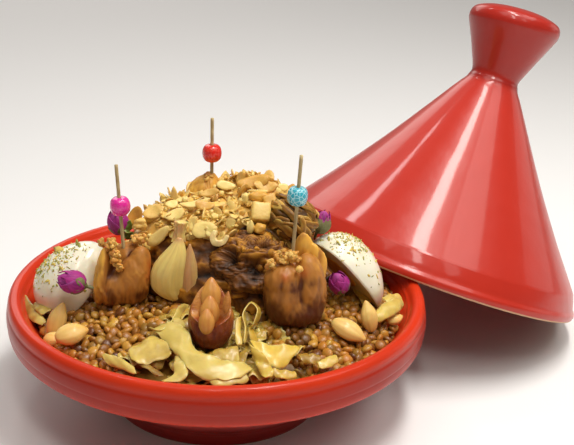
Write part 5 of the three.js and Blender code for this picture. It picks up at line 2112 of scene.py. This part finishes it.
@dataclass
class Date:
    """A date opened upright, with three glazed almonds stacked in it: the size and the shift of each."""

    at: Point = (-4, -83, 74)
    lean: Point = (-0.02, 0.5, 1)
    radius: float = 12.9
    length: float = 38.5
    almonds: tuple[tuple[Point, Point], ...] = (
        ((15, 9, 6), (-1.4, -1.8, 2)), ((19, 11.5, 7), (-1.4, -2.4, -1.6)),
        ((21, 12, 7.5), (-0.2, -3.4, -2)),
    )

    def shell(self) -> Shape:
        """The flesh: a closed bulb below, opened above into a trough whose torn side walls thin out.

        The radius falls to a seventh over the opening, which spans an angle either side of the front.

        Returns:
            The flesh, marked with its tone and blush.
        """
        u, v = grid(150, 200)
        angle = TURN * v
        front = np.abs(turn_between(angle, FRONT))
        out = self.radius * np.sin(pi * u**0.8) ** 0.5 * (1 - 0.12 * step(u, 0.5, 1))
        gate = 1.15 * step(u, 0.2, 0.62)
        opened = step(gate - front, 0, 0.25) * step(u, 0.26, 0.5)
        lips = 0.08 * bell(front - gate, 0.16) * step(u, 0.3, 0.45)
        wrinkle = 0.03 * rough(around(2.2, angle, 1.6 * u), 0.5, 8, 3)
        body = out * (1 - 0.85 * opened + lips + wrinkle)
        points = around(body, angle, self.length * u * (1 - 0.06 * opened)) * (1, 0.85, 1)
        points = points + 0.5 * rough(points * (1, 1, 0.4), 4, 6, 3)[..., None] * unit(points * (1, 1, 0))
        tone = 0.08 + 0.66 * step(u, 0.24, 0.56) - 0.25 * opened + 5 * wrinkle
        tone = np.clip(tone + 0.2 * rough(points, 5, 4, 2), 0, 1)
        return rounded(points, tone=tone, blush=0.6 * bell(u - 0.3, 0.12) * bell(front, 0.7))

    def build(self) -> None:
        """Makes the flesh, the almonds and a torn point of flesh beside them."""
        skin = Moist(
            "date_skin", tint(84, 20, 8), tint(146, 70, 22), tint(212, 150, 66), grain=1.7, relief=0.5,
            roughness=0.34, glow=0.1, noisy=0.45, stretch=(1, 1, 0.25), sheen=0.25,
        )
        glazed = Streaked(
            "glazed_almond", tint(208, 150, 70), tint(176, 100, 38), tint(198, 126, 54), lines=12,
            strength=0.5, relief=0.12, roughness=0.34, glow=0.3, sheen=0.2,
        )
        shell = self.shell().moved(standing(self.lean), self.at)
        point = almond(13, 4.5, 4, 9).moved(facing((0.1, 0.3, 1), (0, -1, 0.3)), (4.6, -79, 102))
        put("date_flesh", joined([shell, point.marked(tone=0.75)]), skin, "date", "date")
        for number, (size, shift) in enumerate(self.almonds, 1):
            node = f"date_almond_{number}"
            shape = almond(*size, number).moved(facing((0, 0.42, 1), (0, -1, 0.4)), middle(node) + shift)
            put(f"glazed_{node}", shape, glazed, "glazed_almond", node)


# ---- rose buds and picks ----


@dataclass
class RoseBud:
    """A dried rose bud: petals wound round each other in a green cup on a stalk."""

    PETAL: ClassVar[Finish] = Streaked(
        "rose_petal", tint(170, 44, 128), tint(92, 14, 84), tint(176, 96, 168), lines=10, strength=0.6,
        relief=0.08, roughness=0.5, glow=0.15,
    )
    GREEN: ClassVar[Finish] = Rimmed(
        "rose_cup", tint(74, 74, 38), tint(142, 142, 92), tint(122, 80, 48), start=0.5, strength=0.6,
        roughness=0.6, glow=0.05,
    )
    node: str
    aim: Point
    radius: float
    length: float
    spin: float
    cover: float = 0.38
    broad: float = 0.42
    lift: float = 0.0
    count: int = 5
    thin: float = 0.25

    def petals(self) -> Shape:
        """The bud's body and its outer petals, each a curved sheet round the axis whose tip closes in.

        Returns:
            The petals, marked with tone, rise and round.
        """
        u, v = grid(48, 60)
        angle = TURN * v
        body = self.radius * 0.9 * np.sin(pi * u**0.9) ** 0.6 * (1 + 0.07 * np.cos(3 * angle - 7 * u))
        inner = around(body, angle, self.length * 0.96 * u)
        shapes = [rounded(inner, tone=0.35 + 0.4 * u, rise=u, round=v)]
        a, b = grid(34, 22, closed=False)
        for petal in range(self.count):
            spread = 2.5 * np.sin(pi * np.clip(a + 0.12, 0, 1)) ** 0.5
            turn = TURN * petal / self.count + self.spin + (b - 0.5) * spread
            tip = 1 - 0.1 * (2 * b - 1) ** 2 - 0.03 * petal
            swell = 0.02 * petal + 0.07 * np.abs(2 * b - 1) ** 3
            out = self.radius * (np.sin(pi * (0.1 + 0.83 * a**0.95)) ** 0.55 + swell)
            points = around(out, turn, self.length * tip * a)
            points = points + 0.15 * rough(points, 4, petal + 2, 2)[..., None]
            half = self.thin * normals(points)
            tone = 0.5 + 0.25 * np.abs(2 * b - 1) ** 4 + 0.2 * rough(points, 4, petal)
            shapes.append(leaf(points + half, points - half, tone=tone, rise=a, round=b))
        return joined(shapes)

    def cup(self) -> Shape:
        """The calyx: a small cup, pointed sepals against the petals, and a stalk.

        Returns:
            The calyx, marked with tone, and with rim at the sepals' tips.
        """
        u, v = grid(24, 30)
        knots = [0, 0.06, 0.45, 0.6, 0.9, 1]
        out = np.interp(u, knots, [0, 1, 1, 2.6, 3.2, 0]) * self.radius / 6.2
        z = np.interp(u, knots, [-0.34, -0.33, -0.12, -0.03, 0.12, 0.1]) * self.length
        shapes = [rounded(around(out, TURN * v, z), tone=0.4, rim=0)]
        a, b = grid(22, 9, closed=False)
        width = self.broad * np.sin(pi * np.clip(0.2 + 0.8 * a, 0, 1)) ** 0.8
        out = np.sin(pi * np.minimum(0.12 + (0.08 + self.cover) * a, 0.97)) ** 0.6
        out = self.radius * (out + 0.1 + 0.35 * (self.broad - 0.42)) * (1 + 0.08 * step(a, 0.7, 1))
        for sepal in range(self.count):
            turn = TURN * sepal / self.count + self.spin + (b - 0.5) * 2 * width
            points = around(out, turn, self.length * (0.02 + self.cover * a))
            half = self.thin * normals(points)
            tone = 0.5 + 0.2 * rough(points, 2, sepal)
            shapes.append(leaf(points + half, points - half, tone=tone, rim=a * 0.9))
        return joined(shapes)

    def build(self) -> None:
        """Makes the petals and the cup, centred on the bud's solid along its aim."""
        turn = standing(self.aim)
        bud = f"rosebud_{self.node}"
        at = middle(bud) - unit(self.aim) * self.length / 2 + (0, 0, self.lift)
        put(f"rose_petals_{self.node}", self.petals().moved(turn, at), self.PETAL, "petal", bud)
        put(f"rose_cup_{self.node}", self.cup().moved(turn, at), self.GREEN, "sepal", f"calyx_{self.node}")


ROSE_BUDS = (
    RoseBud("left", (-1, -0.12, 0.38), 6.2, 17, 0.4, lift=2.6),
    RoseBud("behind", (-0.25, -0.1, 1), 6, 16, 1.2),
    RoseBud("right", (0.3, -0.1, 0.95), 5.2, 15, 0.35, 0.8, 0.85, -1),
    RoseBud("front", (-0.35, -0.25, 1), 5.8, 14, 0.9),
)


class BeadLook(Enum):
    """The beads by their side: slot, colour of the body, colour and strength of the lines."""

    LEFT = ("bead_pink", tint(226, 34, 150), tint(240, 110, 190), 0.2)
    BACK = ("bead_red", tint(222, 32, 18), tint(240, 90, 60), 0.2)
    RIGHT = ("bead_turquoise", tint(40, 168, 190), tint(190, 236, 240), 0.85)


@dataclass
class Picks:
    """Three bamboo picks, each with one bead."""

    radius: float = 1.0
    hole: float = 0.98
    bead_radius: float = 6.0
    bead_height: float = 11.0
    end_share: float = 0.12

    def stick(self, start: Array, end: Array) -> Shape:
        """A split bamboo stick: a rounded square section, tapered to a point below.

        Args:
            start: where its point is.
            end: where its blunt end is.

        Returns:
            The stick, marked with tone, rise and round.
        """
        u, v = grid(60, 20)
        angle = TURN * v
        square = 1 + 0.07 * np.cos(4 * angle)
        out = self.radius * np.minimum(1, u / 0.12) * np.where(u == 1, 0, 1) * square
        length = np.linalg.norm(end - start)
        points = around(out, angle, length * u)
        points[-2, :, 2] = length - 0.05
        shape = rounded(points, tone=0.2 + 0.3 * rough(points, 4, 2), rise=u * 4, round=v)
        return shape.moved(standing(end - start), start)

    def bead(self) -> Shape:
        """A pressed bead: a barrel with eight soft facets and a hole for the stick.

        Returns:
            The bead, upright.
        """
        u, v = grid(40, 64)
        angle = TURN * v
        half = self.bead_height / 2
        share = np.clip((u - self.end_share) / (1 - 2 * self.end_share), 0, 1)
        facet = 1 + 0.02 * np.cos(8 * angle) * np.sin(pi * share)
        out = self.hole + (self.bead_radius - self.hole) * np.sin(pi * share) ** 0.55 * facet
        out = np.where((u == 0) | (u == 1), 0, out)
        top = half - (u - 1 + self.end_share) * 6
        height = np.where(u > 1 - self.end_share, top, -half * np.cos(pi * share) * 0.995)
        height = np.where(u < self.end_share, -half + (self.end_share - u) * 6, height)
        return rounded(around(out, angle, height))

    def build(self) -> None:
        """Makes the sticks and the beads."""
        wood = Streaked(
            "split_bamboo", tint(214, 196, 148), tint(166, 144, 100), tint(190, 168, 120), lines=7,
            strength=0.6, relief=0.1, roughness=0.55, glow=0.1,
        )
        for look in BeadLook:
            side = look.name.lower()
            slot, body, line, strength = look.value
            low, high = box(f"pick_{side}")
            inset = self.radius * np.array([1, 1, 0])
            if look is not BeadLook.RIGHT:
                low[0], high[0] = high[0], low[0]
                inset[0] = -inset[0]
            start, end = low + inset, high - inset
            put(f"stick_{side}", self.stick(start, end), wood, "bamboo", f"pick_{side}")
            shape = self.bead().moved(standing(end - start), middle(f"bead_{side}"))
            glaze = Crackle(f"bead_glaze_{side}", body, line, strength)
            put(f"barrel_{side}", shape, glaze, slot, f"bead_{side}")


# ---- studio ----


@dataclass(frozen=True)
class Panel:
    """A soft rectangular light: its name, the way to it, how far (m), size (m), brightness and colour."""

    name: str
    toward: Point
    far: float
    size: Range
    glow: float
    warmth: Point = (1, 1, 1)

    def hang(self, lit: Point) -> None:
        """Hangs it square on to the lit point; its power is brightness times pi times area.

        Args:
            lit: the point, in metres.
        """
        data = bpy.data.lights.new(self.name, "AREA")
        data.shape = "RECTANGLE"
        data.size, data.size_y = self.size
        data.energy = self.glow * pi * self.size[0] * self.size[1]
        data.color = self.warmth
        away = unit(self.toward)
        side = unit(np.cross((0, 1, 0) if away[2] > 0.7 else (0, 0, 1), away))
        pose(linked(self.name, data), (side, np.cross(away, side), away), np.array(lit) + away * self.far)


def pose(thing: bpy.types.Object, axes: tuple, at: Array) -> None:
    """Places an object by the ways of its X, Y and Z and its middle in metres."""
    matrix = np.vstack([np.column_stack([*axes, at]), (0, 0, 0, 1)])
    thing.matrix_world = Matrix(matrix.tolist())


@dataclass
class Studio:
    """Pale floor, soft lights and the camera; the lit point and the floor are in metres."""

    eye: Point = (0.0, -643.5, 375.7)
    right: Point = (0.998057, -0.049909, 0.037302)
    up: Point = (-0.016163, 0.370794, 0.928574)
    lens: float = 69.6
    sensor: float = 36
    nearest: float = 0.05
    world: float = 0.2
    air: Colour = (1.0, 0.94, 0.86, 1)
    half_floor: float = 6
    lit: Point = (0.12, 0.03, 0.1)
    panels: tuple[Panel, ...] = (
        Panel("overhead", (0.13, -0.07, 0.99), 1.1, (0.15, 0.7), 28, (1, 0.97, 0.92)),
        Panel("overhead_right", (0.52, -0.12, 0.85), 1.1, (0.4, 0.8), 3.6, (1, 0.95, 0.9)),
        Panel("overhead_left", (-0.3, -0.25, 0.92), 1.3, (0.5, 0.5), 2.4, (1, 0.96, 0.9)),
        Panel("skirt", (-0.11, -0.57, 0.81), 1.2, (0.12, 0.3), 15, (1, 0.96, 0.9)),
        Panel("skirt_right", (0.3, -0.66, 0.69), 1.2, (0.2, 0.3), 3, (1, 0.95, 0.9)),
        Panel("right", (0.88, 0.42, 0.2), 1.4, (0.8, 0.5), 0.8, (1, 0.9, 0.85)),
        Panel("back_left", (-0.32, 0.8, 0.45), 2.6, (1.6, 1.0), 2.4, (1, 0.94, 0.9)),
        Panel("window", (-0.36, 0.44, 0.82), 1.2, (0.14, 0.1), 16),
    )

    def camera(self) -> None:
        """A long lens a little above the dish."""
        data = bpy.data.cameras.new("view")
        data.lens = self.lens
        data.sensor_width = self.sensor
        data.clip_start = self.nearest
        camera = linked("view", data)
        pose(camera, (self.right, self.up, np.cross(self.right, self.up)), np.array(self.eye) * MM)
        bpy.context.scene.camera = camera

    def floor(self) -> None:
        """A wide pale table top."""
        mesh = bpy.data.meshes.new("floor")
        far = self.half_floor
        corners = [(-far, -far, 0), (far, -far, 0), (far, far, 0), (-far, far, 0)]
        mesh.from_pydata(corners, [], [(0, 1, 2, 3)])
        graph = Graph("pale_floor")
        graph.wear(Base_Color=(0.9, 0.9, 0.9, 1), Roughness=0.8)
        mesh.materials.append(graph.material)
        floor = linked("floor", mesh)

    def build(self) -> None:
        """Sets up everything."""
        scene = bpy.context.scene
        scene.view_settings.view_transform = "Standard"
        world = bpy.data.worlds.new("studio")
        world.use_nodes = True
        colour, strength = world.node_tree.nodes["Background"].inputs[:2]
        colour.default_value = self.air
        strength.default_value = self.world
        scene.world = world
        self.floor()
        self.camera()
        for panel in self.panels:
            panel.hang(self.lit)


def main() -> None:
    """Builds every sub-assembly in order and reports it."""
    logging.basicConfig(level=logging.INFO, format="%(message)s")
    bed = Bed()
    mound = Mound()
    parts = (
        Tableware(), Lentils(bed), BreadSheets(bed), mound, Onions(mound), Flakes(mound), *FIGS, *EGGS,
        Garlic(), Almonds(), Date(), *ROSE_BUDS, Picks(), Studio(),
    )
    for part in parts:
        part.build()
        log.info("%s is done", type(part).__name__)


if __name__ == "__main__":
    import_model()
    main()
